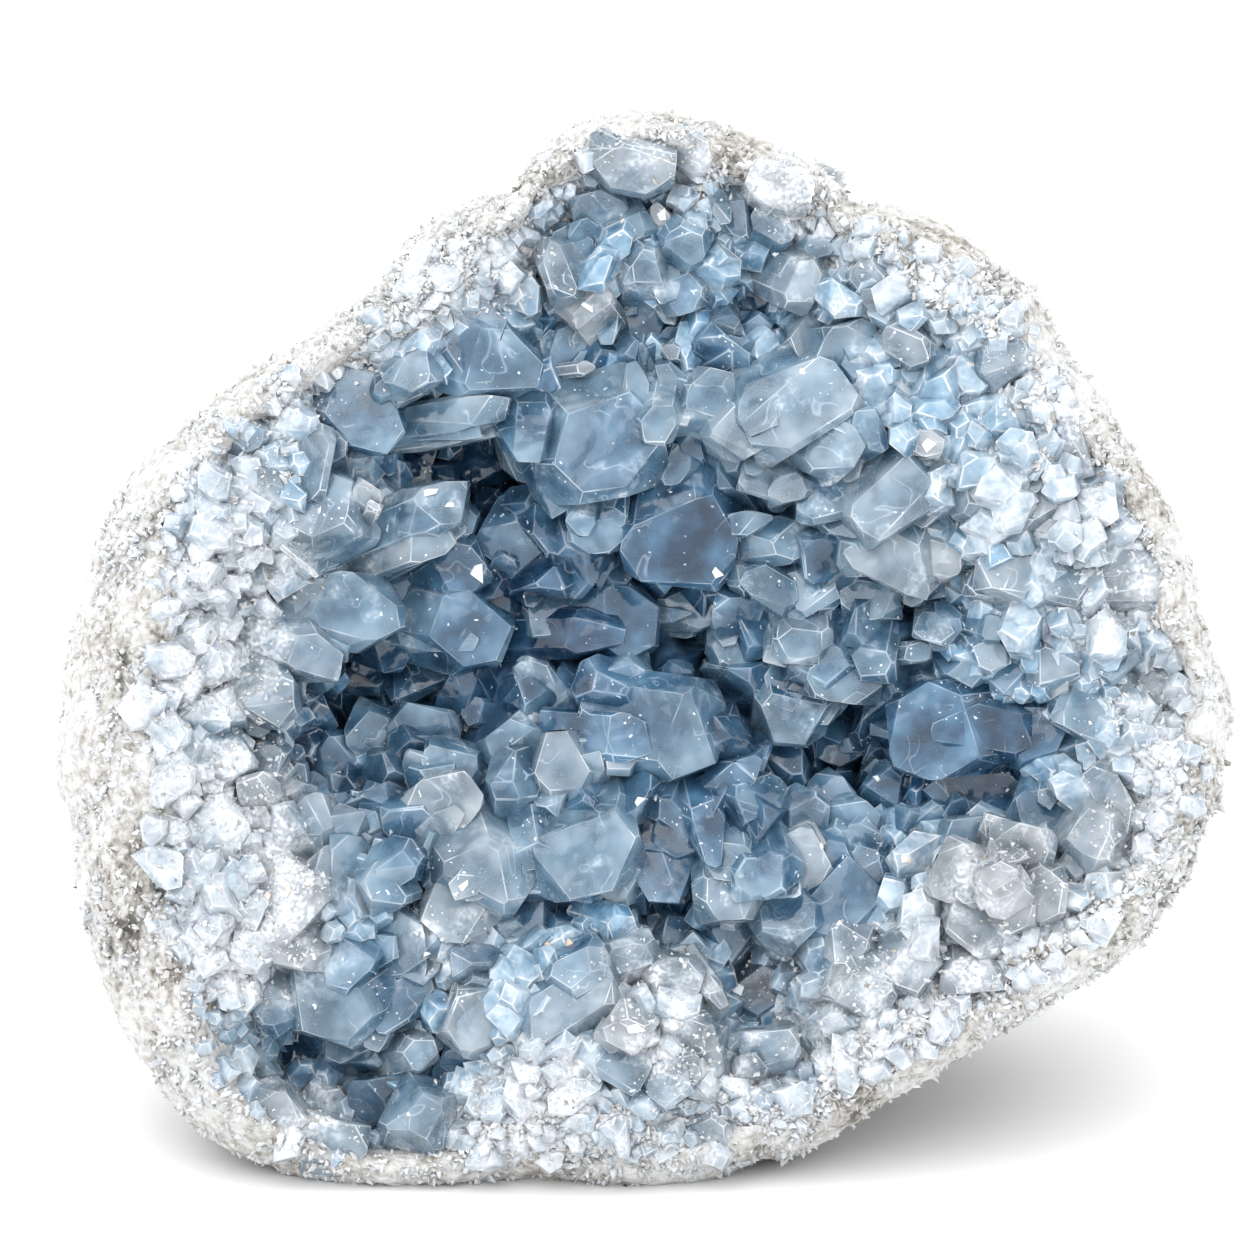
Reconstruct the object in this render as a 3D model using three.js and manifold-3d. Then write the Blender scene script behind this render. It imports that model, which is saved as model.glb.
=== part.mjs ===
// Half of a celestite geode: a pale stone shell with a hollow in its open face, and one crust of
// blue crystals that lines the hollow and its rim. Millimetres, +Z up. The open face looks along -Y
// and leans back. The stone rests on a flat cut, and the origin is the bottom middle of the piece.

import * as THREE from 'three';
import { mergeVertices } from 'three/addons/utils/BufferGeometryUtils.js';
import Module from 'manifold-3d';

const wasm = await Module();
wasm.setup();

// The face frame: u runs right, v runs up the leaning face, and w comes out of it
const faceLean = 15;
const faceCentre = [0.1, -43.75, 83.2];
const viewDistance = 700;

// The open face's outline, anticlockwise from the right, as seen from viewDistance away
const outline = [
  [87.4, -0.6], [84.8, 6.3], [84, 12.4], [81.3, 19.4], [77.4, 27], [72, 35.5], [67.4, 42.4],
  [62.1, 50], [59.8, 54.7], [54.4, 59.3], [46.7, 64.4], [39, 67.4], [31, 69.6], [29.8, 73.6],
  [23.7, 75.4], [17.5, 78], [11.4, 80.8], [6.8, 81.6], [-0.9, 82.8], [-7.1, 81.6],
  [-13.2, 78.5], [-17.8, 74.7], [-20.1, 70.8], [-27, 68.5], [-34.7, 63.9], [-38.6, 59.3],
  [-41.6, 55.5], [-47, 51.6], [-53.1, 47], [-60.1, 43.2], [-66.2, 38.6], [-72.3, 33.2],
  [-78.5, 27.8], [-82.3, 21.7], [-84.6, 15.5], [-86.9, 7.8], [-88.5, 0.2], [-89.7, -7.5],
  [-90, -16.7], [-89.1, -22.9], [-87.7, -27.5], [-87.2, -33.6], [-86.2, -42.9], [-82.3, -52],
  [-77.7, -61.3], [-73.1, -69], [-65.4, -75.9], [-56.2, -79.7], [-48.5, -82.3], [-37.8, -83],
  [-29.3, -83], [-22.4, -81.2], [-15.5, -81.2], [-7, -83], [5.2, -82.4], [12.9, -80],
  [17.5, -78], [21.4, -78.2], [28.3, -74.3], [36, -69.4], [46.7, -63.1], [57.5, -57.4],
  [66.7, -51.3], [76.7, -44.4], [80.5, -39], [84.3, -33.6], [85.9, -27.5], [88.5, -22.9],
  [89.4, -15.2], [90, -7.5],
];

// The stone shell
const rimCrest = 0.84;
const rimRollOff = 14;
const shellDepth = 88;
const backRoundness = 2.7;
const backLumps = 0.022;
const rays = 48;
const crustRings = [0, 0.11, 0.22, 0.33, 0.44, 0.55, 0.66, 0.76, 0.86, 0.94, 1];
const bareRings = [0.25, 0.6, 1];
const backRings = 7;
const crustEdge = 0.92;
const crustSetBack = 0.12;
const crustSetBackDirection = 190;
const crustSetBackNarrowness = 5;
const crustThickness = 3;
const crustGap = 0.35;
const crustFloorGap = 0.9;
const bedDepth = 7;
const bedRoughness = 1.3;
const closestCorners = 0.001;

// The ground that the crystals grow on
const rimGround = -3;
const middleGround = -15;
const wallSlope = 1.3;
const rootShare = 0.75;
const rootBury = 3;
const longestRoot = 26;
const crystalGrowth = 1.2;

// Crystals whose three sizes add up to less are left out, and the largest get cut corners
const leastBulk = 23;
const cutCornerBulk = 34;

// The large crystals, each as [u, v, w, toward, out, across, thick, long, paleness]: the middle of
// what shows of it and how far forward it comes, where it points in the face and out of it in
// degrees, its three sizes, and its colour from 0, deep blue, to 1, white
const crystals = [
  // top of the face
  [0, 70.5, -14, 90, 75, 8, 7, 6, 0.05],
  [-7.5, 69, -10, 110, 70, 8, 6, 6, 0.45],
  [-2, 76, -4, 80, 70, 12, 8, 6, 0.6],
  [8, 77.5, -6, 60, 65, 7, 6, 5, 0.75],
  [13.5, 66.5, -8, -70, 40, 6, 6, 10, 0.45],
  [2.5, 67, -12, 40, 60, 4, 3, 3, 0.95],
  [-3, 64, -11, -60, 50, 8, 5, 5, 0.4],
  [6.3, 63.5, -8, 60, 60, 7, 6, 7, 0.5],
  [0.3, 59.5, -9, 80, 60, 8, 7, 8, 0.55],
  [-12, 63, -12, 120, 55, 7, 7, 6, 0.35],
  [-14, 58, -8, -160, 60, 9, 5, 6, 0.6],
  [20, 66, -9, 60, 60, 6, 5, 5, 0.4],
  [27, 62, -9, -20, 50, 5, 5, 6, 0.4],
  [17, 57, -16, 30, 60, 8, 7, 6, 0.15],
  [24.7, 56, -7, -30, 55, 8, 7, 8, 0.65],
  [21, 72, -4, 70, 70, 9, 7, 6, 0.85],
  [28, 72.5, -9, 40, 45, 4, 4, 5, 0.75],
  [-14, 53, -17, 150, 60, 7, 6, 5, 0.1],
  [-9, 53, -11, 130, 55, 7, 6, 6, 0.9],
  [-5.7, 50.3, -12, -92, 35, 4.5, 5, 10, 0.4],
  [0, 50.5, -15, -85, 40, 7.5, 7, 10, 0.12],
  [5.5, 54, -10, -80, 45, 7, 7, 9, 0.5],
  [12, 50, -12, -80, 60, 5, 5, 6, 0.5],
  [17, 48.5, -14, 50, 50, 6, 6, 9, 0.25],
  [25.5, 48, -8, -150, 50, 8, 6, 10, 0.6],
  [-12.5, 46.5, -15, 160, 55, 9, 7, 6, 0.3],
  [-10, 43.3, -12, 5, 30, 2.6, 3, 6, 0.85],
  [-10, 40.3, -14, 5, 35, 3.4, 6, 10, 0.3],
  [4, 46, -11, 160, 50, 3, 4, 5, 0.8],
  [-1.5, 41, -8, 100, 35, 5, 6, 9, 0.5],
  [4.3, 41.3, -9, 125, 35, 5, 6, 10, 0.4],
  [11, 39.5, -7, 70, 45, 9, 8, 9, 0.6],
  [2, 35, -7, -100, 40, 6, 6, 8, 0.55],
  // upper left
  [-23.5, 45, -6, -20, 28, 13, 10, 16, 0.35],
  [-29, 35.7, -9, 8, 18, 5.5, 8, 16, 0.45],
  [-43, 35.5, -4, -40, 40, 13, 11, 14, 0.28],
  [-61, 32.7, -3, 0, 45, 8, 7, 8, 0.3],
  [-35.5, 41.5, -4, -60, 60, 8, 6, 5, 0.55],
  [-33.5, 21, -9, 22, 25, 9, 9, 15, 0.5],
  [-48.5, 18.5, -3, -60, 65, 12, 11, 8, 0.55],
  [-42.5, 24.5, -4, 60, 60, 5, 4, 5, 0.8],
  [-58.5, 24.7, -3, -150, 65, 6, 5, 4, 0.7],
  [-50, 29, -4, -10, 55, 10, 6, 6, 0.6],
  [-46.5, 6, -8, -8, 22, 11, 10, 19, 0.4],
  [-52.5, 0, -6, -22, 28, 8, 8, 13, 0.55],
  [-57, -8, -5, -55, 35, 8, 6, 8, 0.6],
  [-52.6, 13.2, -1, -40, 20, 1.2, 1.5, 7, 0.95],
  // inside the hollow, left
  [-35, 30, -20, -20, 45, 9, 7, 8, 0.05],
  [-24.5, 28.5, -25, -70, 50, 9, 9, 8, 0],
  [-31, 20, -17, 35, 28, 8, 7, 11, 0.2],
  [-28, 13, -16, 30, 45, 9, 9, 8, 0.25],
  [-19.5, 17.5, -18, 60, 70, 10, 9, 6, 0.3],
  [-38, 10.5, -21, -100, 40, 7, 7, 12, 0.1],
  [-27.5, 3, -14, -15, 38, 12, 11, 17, 0.25],
  [-14.5, 5.5, -16, -100, 50, 8, 8, 10, 0.3],
  [-4.5, 4.3, -15, -6, 32, 13, 11, 15, 0.15],
  [-15.5, -4, -19, 40, 60, 8, 7, 5, 0.35],
  [6.5, 6.3, -18, 0, 40, 6, 6, 11, 0.45],
  [13.7, 0.2, -17, -90, 40, 7.5, 6, 8, 0.4],
  // the middle
  [-7.3, 31, -4, -82, 45, 17, 14, 20, 0.4],
  [-15, 29, -10, -72, 35, 7, 8, 19, 0.3],
  [-7.5, 17.5, -10, -90, 35, 8, 6, 6, 0.4],
  [5, 19, -7, -97, 33, 15.5, 12, 22, 0.12],
  [11, 21, -11, -105, 35, 6, 8, 15, 0.25],
  [4.8, 28.5, -13, 150, 50, 7, 6, 7, 0.3],
  [13.3, 31.5, -13, 80, 45, 6, 7, 10, 0.12],
  [10.8, 12, -12, -40, 50, 4, 4, 6, 0.9],
  [14.8, 15.7, -19, -60, 50, 6, 5, 7, 0.12],
  // upper right
  [24, 36, -1, -60, 55, 16, 12, 12, 0.55],
  [29, 30.7, -1, -25, 50, 8, 7, 11, 0.55],
  [17.7, 25, -6, -110, 60, 6, 5, 6, 0.6],
  [22, 24.5, -5, -80, 60, 6, 5, 6, 0.65],
  [28.7, 22.7, -4, -80, 60, 10, 8, 8, 0.45],
  [38, 23, -1, -50, 55, 15, 11, 12, 0.6],
  [38, 15, -4, -115, 42, 12, 9, 13, 0.65],
  [21.5, 17, -9, 8, 35, 6.5, 7, 11, 0.4],
  [35, 34, -2, 30, 60, 6, 5, 5, 0.4],
  [43.5, 31.8, -1, -10, 45, 4.5, 4, 7, 1],
  [47, 34.5, -4, 40, 60, 6, 5, 6, 0.35],
  [33.5, 43.5, -5, -80, 55, 7, 6, 7, 0.3],
  [30.5, 47.8, -5, 100, 60, 9, 8, 7, 0.5],
  [45, 43.3, -6, -20, 50, 5, 5, 9, 0.3],
  [40.5, 48.2, -3, 60, 70, 7, 6, 5, 0.75],
  [35.5, 57, -3, 40, 70, 7, 6, 5, 0.75],
  [56, 43.5, -3, -60, 65, 8, 7, 5, 0.55],
  [49, 38, -6, -60, 55, 7, 5, 6, 0.3],
  [51, 23, -2, -110, 60, 7, 6, 6, 0.65],
  [61, 22, -2, -60, 70, 9, 7, 5, 0.75],
  [66, 31, -3, 20, 65, 8, 6, 5, 0.8],
  [71, 24, -5, 0, 60, 8, 7, 5, 0.5],
  // under the upper right lobe
  [18.7, 9, -11, -120, 60, 8, 6, 6, 0.45],
  [26, 9.3, -11, -60, 55, 8, 7, 8, 0.4],
  [24, 0.8, -10, -90, 50, 8, 7, 7, 0.6],
  [30.8, -3.8, -11, -105, 42, 10, 8, 10, 0.55],
  [22, -9.7, -13, -95, 38, 11, 8, 13, 0.4],
  [34.5, 7.7, -11, -90, 50, 8, 6, 7, 0.4],
  [41.5, -0.2, -11, 5, 35, 3.5, 5, 7, 0.55],
  [44, 3, -10, -100, 60, 5.5, 5, 6, 0.5],
  [43.5, 10.5, -13, -10, 50, 7, 6, 10, 0.2],
  [55.5, 11.5, -4, -100, 60, 9, 8, 8, 0.65],
  [53, 3.5, -7, -20, 50, 5, 5, 9, 0.4],
  [53.3, -1.3, -7, -60, 50, 5, 5, 6, 0.55],
  [50, -3.5, -11, -60, 50, 8, 6, 8, 0.3],
  [64, 9, -4, -100, 65, 8, 7, 6, 0.7],
  [73, 10.3, -5, -90, 65, 12, 10, 7, 0.75],
  [64, -2.5, -5, 0, 60, 7, 7, 10, 0.65],
  [67.5, -11, -5, -120, 60, 9, 9, 8, 0.5],
  [73, -2, -6, -40, 60, 6, 5, 5, 0.5],
  [79, -5, -9, -30, 50, 8, 7, 6, 0.85],
  // the deep blue group on the right
  [46.5, -12, -8, 186, 30, 13, 13, 19, 0.1],
  [61, -13, -10, -20, 50, 11, 9, 8, 0.12],
  [50.5, -22, -15, -90, 35, 15, 9, 8, 0.02],
  [60.5, -25, -9, -110, 50, 8, 7, 8, 0.35],
  [43.2, -26.3, -15, 120, 50, 7, 6, 6, 0.2],
  [49.5, -27.7, -9, 100, 50, 8, 5, 6, 0.45],
  [33, -26.3, -12, 45, 50, 9, 8, 9, 0.35],
  [34, -34.3, -10, -30, 50, 8, 7, 9, 0.3],
  [37.3, -20.5, -18, 60, 50, 6, 6, 7, 0.2],
  [29.5, -14, -23, -120, 50, 10, 9, 10, 0],
  [39.7, -31.8, -9, -135, 72, 3.5, 4, 5, 1],
  [68.5, -28.5, -3, 150, 55, 10, 9, 11, 0.7],
  [72, -22, -5, 30, 60, 10, 6, 6, 0.85],
  // the white rosette
  [47, -33.5, -1, 160, 50, 8, 7, 8, 0.85],
  [50, -41.5, -1, -130, 50, 10, 9, 10, 0.85],
  [58, -29.3, 0, 80, 55, 9, 7, 8, 0.85],
  [61.5, -37.3, -1, -10, 50, 10, 8, 9, 0.86],
  [55, -36.3, 2, -60, 82, 7, 7, 6, 0.95],
  [50, -50, -3, -90, 50, 8, 6, 6, 0.75],
  // lower middle
  [4, -12, -8, -8, 30, 14, 13, 17, 0.3],
  [-4, -16.5, -10, -100, 50, 6, 5, 7, 0.5],
  [-13, -17.3, -7, 100, 45, 10, 9, 12, 0.6],
  [-21, -14, -12, 130, 50, 8, 7, 8, 0.45],
  [-34, -12, -21, 80, 50, 10, 8, 9, 0.3],
  [-43, -12.7, -21, 160, 50, 8, 6, 8, 0.35],
  [-47.5, -17, -21, 20, 50, 8, 7, 9, 0.15],
  [-44, -5, -29, -90, 60, 11, 8, 6, 0.03],
  [-33, -4.5, -26, -60, 60, 12, 8, 6, 0.1],
  [-29.5, -17.3, -15, 70, 50, 9, 7, 7, 0.35],
  [-31.7, -24, -6, 42, 35, 9, 8, 14, 0.7],
  [-24.5, -31.8, -5, 60, 65, 14, 12, 10, 0.5],
  [-29, -39.5, -4, -150, 45, 9, 8, 14, 0.65],
  [-8.5, -32, -3, -80, 50, 14, 12, 13, 0.48],
  [3, -31.7, -7, -86, 42, 11, 10, 18, 0.2],
  [12.7, -38, -5, -90, 55, 10, 9, 10, 0.55],
  [25.3, -31.3, -8, 30, 55, 8, 7, 7, 0.7],
  [29.5, -39.7, -6, -50, 50, 13, 11, 13, 0.25],
  [20, -42, -13, -90, 55, 8, 7, 9, 0.4],
  [12.5, -46.5, -16, -40, 60, 12, 7, 6, 0.1],
  [2.7, -43, -19, 0, 60, 7, 4, 4, 0],
  [17.5, -53, -16, -60, 50, 8, 7, 7, 0.1],
  [-4, -46.3, -5, 110, 60, 10, 7, 7, 0.6],
  [4.5, -49.5, -4, 80, 60, 8, 7, 10, 0.65],
  [10.3, -52.3, -6, -50, 30, 4, 4, 9, 0.85],
  [-18.5, -41, -11, -60, 55, 10, 7, 8, 0.25],
  // along the lower edge
  [-11, -56, 0, -60, 70, 13, 11, 8, 0.6],
  [-2.5, -57.7, 1, 60, 75, 6, 6, 5, 0.9],
  [-48, -54.5, -2, -110, 50, 14, 12, 13, 0.4],
  [-36.7, -53.5, -7, -60, 50, 10, 8, 9, 0.3],
  [-57, -54, -6, -150, 50, 8, 7, 8, 0.3],
  [-38, -45, -4, 10, 50, 9, 8, 12, 0.45],
  [-54.5, -39.5, 0, -40, 60, 12, 9, 10, 0.78],
  [-54.5, -46.5, -1, -100, 60, 10, 6, 6, 0.75],
  [-50.7, -25, -5, 80, 45, 7, 7, 9, 0.6],
  [-55, -26, -4, 110, 50, 6, 6, 8, 0.65],
  [-45.5, -27, -6, 40, 45, 6, 5, 8, 0.6],
  [-59, -22.3, -4, 95, 45, 6, 5, 9, 0.7],
  [-45.5, -32.7, -5, 10, 45, 5, 5, 10, 0.35],
  [-58, -17.3, -9, -20, 55, 7, 5, 6, 0.4],
  [-64, -17.5, -4, -60, 60, 7, 6, 6, 0.45],
  [-52, -61.5, -17, -60, 55, 8, 6, 6, 0],
  [-44, -61.5, -11, -40, 40, 8, 7, 10, 0.3],
  [-41, -69.3, -12, 95, 45, 8, 7, 10, 0.08],
  [-33.5, -70.7, -3, 70, 55, 10, 9, 10, 0.5],
  [-48, -74.7, -4, 80, 55, 10, 8, 9, 0.55],
  [-56, -70.5, -3, 30, 60, 10, 8, 9, 0.7],
  [-34.5, -61.5, -7, 20, 50, 6, 5, 8, 0.6],
  [-28, -63, -8, 60, 60, 6, 5, 7, 0.25],
  [-5, -63.7, -1, -120, 60, 9, 8, 8, 0.45],
  [4, -66.5, -1, -60, 60, 9, 8, 10, 0.45],
  [10.3, -73, -4, 60, 60, 6, 6, 6, 0.6],
  [-27, -56, -2, 160, 60, 10, 8, 9, 0.7],
  [8.5, -60, -2, 20, 55, 7, 7, 9, 0.6],
  [33, -52, -2, -120, 60, 9, 8, 9, 0.7],
  [41, -49.3, -2, -40, 60, 9, 7, 8, 0.7],
  [19, -60, -3, 100, 60, 8, 6, 7, 0.65],
];

const radians = THREE.MathUtils.degToRad;
const clamp = THREE.MathUtils.clamp;

// A repeatable source of random numbers from 0 to 1
function randomFrom(seed) {
  let state = seed >>> 0;
  return () => {
    state = (state + 0x6d2b79f5) >>> 0;
    let t = state;
    t = Math.imul(t ^ (t >>> 15), t | 1);
    t ^= t + Math.imul(t ^ (t >>> 7), t | 61);
    return ((t ^ (t >>> 14)) >>> 0) / 4294967296;
  };
}

// The outline's points as an angle and a radius, in order of angle
const outlineScale = (viewDistance + rimRollOff) / viewDistance;
const outlinePolar = outline
  .map(([u, v]) => [Math.atan2(v, u), Math.hypot(u, v) * outlineScale])
  .sort((a, b) => a[0] - b[0]);

// The outline's radius in a direction, on a smooth curve through its points
function outlineRadius(angle) {
  const count = outlinePolar.length;
  const turn = 2 * Math.PI;
  const place = (i) => {
    const wrapped = ((i % count) + count) % count;
    return [outlinePolar[wrapped][0] + turn * Math.floor(i / count), outlinePolar[wrapped][1]];
  };
  let wanted = angle;
  while (wanted < outlinePolar[0][0]) wanted += turn;
  while (wanted >= outlinePolar[0][0] + turn) wanted -= turn;
  let i = 0;
  while (place(i + 1)[0] <= wanted) i += 1;
  const [before, start, end, after] = [place(i - 1), place(i), place(i + 1), place(i + 2)];
  const span = end[0] - start[0];
  const t = (wanted - start[0]) / span;
  const slopeStart = ((end[1] - before[1]) / (end[0] - before[0])) * span;
  const slopeEnd = ((after[1] - start[1]) / (after[0] - start[0])) * span;
  const t2 = t * t;
  const t3 = t2 * t;
  return (
    (2 * t3 - 3 * t2 + 1) * start[1] + (t3 - 2 * t2 + t) * slopeStart
    + (3 * t2 - 2 * t3) * end[1] + (t3 - t2) * slopeEnd
  );
}

// A crystal's direction, its two side directions and the middle of what shows of it
function placeCrystal([u, v, w, toward, out, across, thick, long]) {
  const inFace = radians(toward);
  const outward = radians(out);
  const direction = new THREE.Vector3(
    Math.cos(inFace) * Math.cos(outward),
    Math.sin(inFace) * Math.cos(outward),
    Math.sin(outward),
  );
  const side = new THREE.Vector3(-Math.sin(inFace), Math.cos(inFace), 0);
  const flank = direction.clone().cross(side);
  const reach = (thick / 2) * Math.cos(outward) + (long / 2) * Math.sin(outward);
  const depth = w - reach;
  const spread = (viewDistance - depth) / viewDistance;
  const middle = new THREE.Vector3(u * spread, v * spread, depth);
  return { direction, side, flank, reach, middle };
}

const placed = crystals.map(placeCrystal);

// How far forward the stone comes at a share of the way from the middle to the outline
function rimHeight(share) {
  const beyond = Math.max(0, (share - rimCrest) / (1 - rimCrest));
  return -rimRollOff * beyond * beyond;
}

// The ground under the crystals: a shallow bowl, cut lower by the roots of each large crystal
function groundHeight(u, v) {
  const share = Math.hypot(u, v) / outlineRadius(Math.atan2(v, u));
  const bowl = rimGround + (middleGround - rimGround) * clamp(1 - share / rimCrest, 0, 1);
  let height = bowl + rimHeight(share);
  placed.forEach(({ middle, reach }, i) => {
    const [, , w, , , across, thick, long] = crystals[i];
    const root = w - 2 * reach * rootShare;
    const radius = (across + thick + long) / 8;
    const distance = Math.hypot(u - middle.x, v - middle.y);
    height = Math.min(height, root + wallSlope * Math.max(0, distance - radius));
  });
  return height;
}

// The share of the way out at which the crust ends; more stone is bare on the left
function crustEdgeAt(angle) {
  const facing = Math.max(0, Math.cos(angle - radians(crustSetBackDirection)));
  return crustEdge - crustSetBack * facing ** crustSetBackNarrowness;
}

// How far out a ring of the face lies: some rings are under the crust and the others bare stone
const ringCount = crustRings.length + bareRings.length;
function ringShare(ring, angle) {
  const edge = crustEdgeAt(angle);
  if (ring < crustRings.length) {
    return crustRings[ring] * edge;
  }
  return edge + bareRings[ring - crustRings.length] * (1 - edge);
}

// The face as rings and rays; ring 0 is the middle
const faceGrid = Array.from({ length: ringCount }, (_, ring) => (
  Array.from({ length: rays }, (_, ray) => {
    const angle = (ray / rays) * 2 * Math.PI;
    const share = ringShare(ring, angle);
    const radius = outlineRadius(angle) * share;
    const u = radius * Math.cos(angle);
    const v = radius * Math.sin(angle);
    return { u, v, share, ground: groundHeight(u, v) };
  })
));

// The ground between the points of the grid
function gridGround(u, v) {
  const angle = Math.atan2(v, u);
  const share = Math.min(Math.hypot(u, v) / outlineRadius(angle), 1);
  let ring = 0;
  while (ring + 2 < ringCount && ringShare(ring + 1, angle) < share) ring += 1;
  const rayPlace = (((angle / (2 * Math.PI)) % 1) + 1) % 1 * rays;
  const ray = Math.floor(rayPlace) % rays;
  const next = (ray + 1) % rays;
  const across = rayPlace - Math.floor(rayPlace);
  const start = ringShare(ring, angle);
  const along = (share - start) / (ringShare(ring + 1, angle) - start);
  const inner = faceGrid[ring][ray].ground * (1 - across) + faceGrid[ring][next].ground * across;
  const outer = faceGrid[ring + 1][ray].ground * (1 - across)
    + faceGrid[ring + 1][next].ground * across;
  return inner * (1 - along) + outer * along;
}

// A closed solid from rings of points, with a single point at each end
function ringedSolid(first, rings, last) {
  const points = [first, ...rings.flat(), last];
  const at = (ring, ray) => 1 + ring * rays + (ray % rays);
  const end = points.length - 1;
  const faces = [];
  for (let ray = 0; ray < rays; ray += 1) {
    faces.push(0, at(0, ray), at(0, ray + 1));
    for (let ring = 0; ring + 1 < rings.length; ring += 1) {
      faces.push(at(ring, ray), at(ring + 1, ray), at(ring + 1, ray + 1));
      faces.push(at(ring, ray), at(ring + 1, ray + 1), at(ring, ray + 1));
    }
    faces.push(at(rings.length - 1, ray), end, at(rings.length - 1, ray + 1));
  }
  return closedSolid(points, faces);
}

function closedSolid(points, faces) {
  return new wasm.Manifold(new wasm.Mesh({
    numProp: 3,
    vertProperties: new Float32Array(points.flat()),
    triVerts: new Uint32Array(faces),
  }));
}

function solidOf(geometry) {
  const bare = geometry.clone();
  bare.deleteAttribute('normal');
  bare.deleteAttribute('uv');
  const merged = mergeVertices(bare, closestCorners);
  return new wasm.Manifold(new wasm.Mesh({
    numProp: 3,
    vertProperties: new Float32Array(merged.attributes.position.array),
    triVerts: new Uint32Array(merged.index.array),
  }));
}

// From the face frame to the world
const lean = radians(faceLean);
function toWorld([u, v, w]) {
  return [
    faceCentre[0] + u,
    faceCentre[1] + v * Math.sin(lean) - w * Math.cos(lean),
    faceCentre[2] + v * Math.cos(lean) + w * Math.sin(lean),
  ];
}

// The stone shell, its front raised by a gap where it is used to cut the crust
function shellSolid(raised) {
  const front = faceGrid.slice(1).map((ring, i) => ring.map((point) => {
    const crusted = i + 1 < crustRings.length;
    const outermost = i + 2 === ringCount;
    const height = crusted ? point.ground - crustThickness : rimHeight(point.share);
    const widen = outermost ? 1 + raised / Math.hypot(point.u, point.v) : 1;
    return toWorld([point.u * widen, point.v * widen, height + (outermost ? 0 : raised)]);
  }));
  const back = Array.from({ length: backRings }, (_, i) => {
    const swing = ((i + 1) / (backRings + 1)) * (Math.PI / 2);
    const narrowing = Math.cos(swing) ** (2 / backRoundness);
    const depth = shellDepth * Math.sin(swing) ** (2 / backRoundness);
    return Array.from({ length: rays }, (_, ray) => {
      const angle = (ray / rays) * 2 * Math.PI;
      const lump = Math.sin(3 * angle + 5 * swing) + Math.sin(5 * angle - 7 * swing + 1)
        + Math.sin(2 * angle + 9 * swing + 4);
      const radius = outlineRadius(angle) * narrowing * (1 + backLumps * lump * Math.sin(swing));
      return toWorld([
        (radius + raised) * Math.cos(angle),
        (radius + raised) * Math.sin(angle),
        -rimRollOff - depth,
      ]);
    });
  });
  const middle = faceGrid[0][0].ground - crustThickness + raised;
  return ringedSolid(
    toWorld([0, 0, middle]),
    [...front, ...back],
    toWorld([0, 0, -rimRollOff - shellDepth - raised]),
  );
}

// A thick disc under the crystals that joins them all, its top a little rough
function crustBed() {
  const random = randomFrom(3);
  const inside = faceGrid.slice(1, crustRings.length);
  const bedRing = (ring, sink, roughness) => ring.map(({ u, v, ground }) => (
    toWorld([u, v, ground - sink + random() * roughness])
  ));
  const top = inside.map((ring) => bedRing(ring, 0, bedRoughness));
  const bottom = inside.map((ring) => bedRing(ring, bedDepth, 0)).reverse();
  const middle = faceGrid[0][0].ground;
  return ringedSolid(
    toWorld([0, 0, middle]),
    [...top, ...bottom],
    toWorld([0, 0, middle - bedDepth]),
  );
}

// The planes of one crystal in a unit frame, each as [x, y, z, distance]: a prism with cut corners
// under a roof and a gable, all a little uneven
function crystalPlanes(random, bury, plain) {
  const uneven = (amount) => (random() - 0.5) * 2 * amount;
  const plane = (x, y, z, distance) => [
    x + uneven(0.1) * Math.abs(z), y + uneven(0.1) * Math.abs(z), z, distance * (1 + uneven(0.06)),
  ];
  const roof = 0.35 + random() * 0.45;
  const gable = 0.35 + random() * 0.5;
  const gableStart = 0.15 + random() * 0.4;
  const corner = 1.02 + random() * 0.25;
  const planes = [
    plane(1, uneven(0.12), 0, 1),
    plane(-1, uneven(0.12), 0, 1),
    plane(uneven(0.12), 1, 0, 1),
    plane(uneven(0.12), -1, 0, 1),
    plane(0, roof, 1, 1),
    plane(0, -roof, 1, 1),
    plane(gable, 0, 1, 1 + gable * gableStart),
    plane(-gable, 0, 1, 1 + gable * gableStart),
    [0, 0, -1, bury],
  ];
  if (plain) {
    return planes;
  }
  return [
    ...planes,
    plane(0.72, 0.7, 0, corner),
    plane(-0.72, 0.7, 0, corner),
    plane(-0.72, -0.7, 0, corner),
    plane(0.72, -0.7, 0, corner),
    plane(0, 0, 1, 0.96),
  ];
}

// The point where three planes meet, or nothing if they are nearly parallel
function meeting(a, b, c) {
  const [na, nb, nc] = [a, b, c].map(([x, y, z]) => new THREE.Vector3(x, y, z));
  const volume = na.dot(nb.clone().cross(nc));
  if (Math.abs(volume) < 1e-4) {
    return null;
  }
  return nb.clone().cross(nc).multiplyScalar(a[3])
    .add(nc.clone().cross(na).multiplyScalar(b[3]))
    .add(na.clone().cross(nb).multiplyScalar(c[3]))
    .divideScalar(volume);
}

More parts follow.
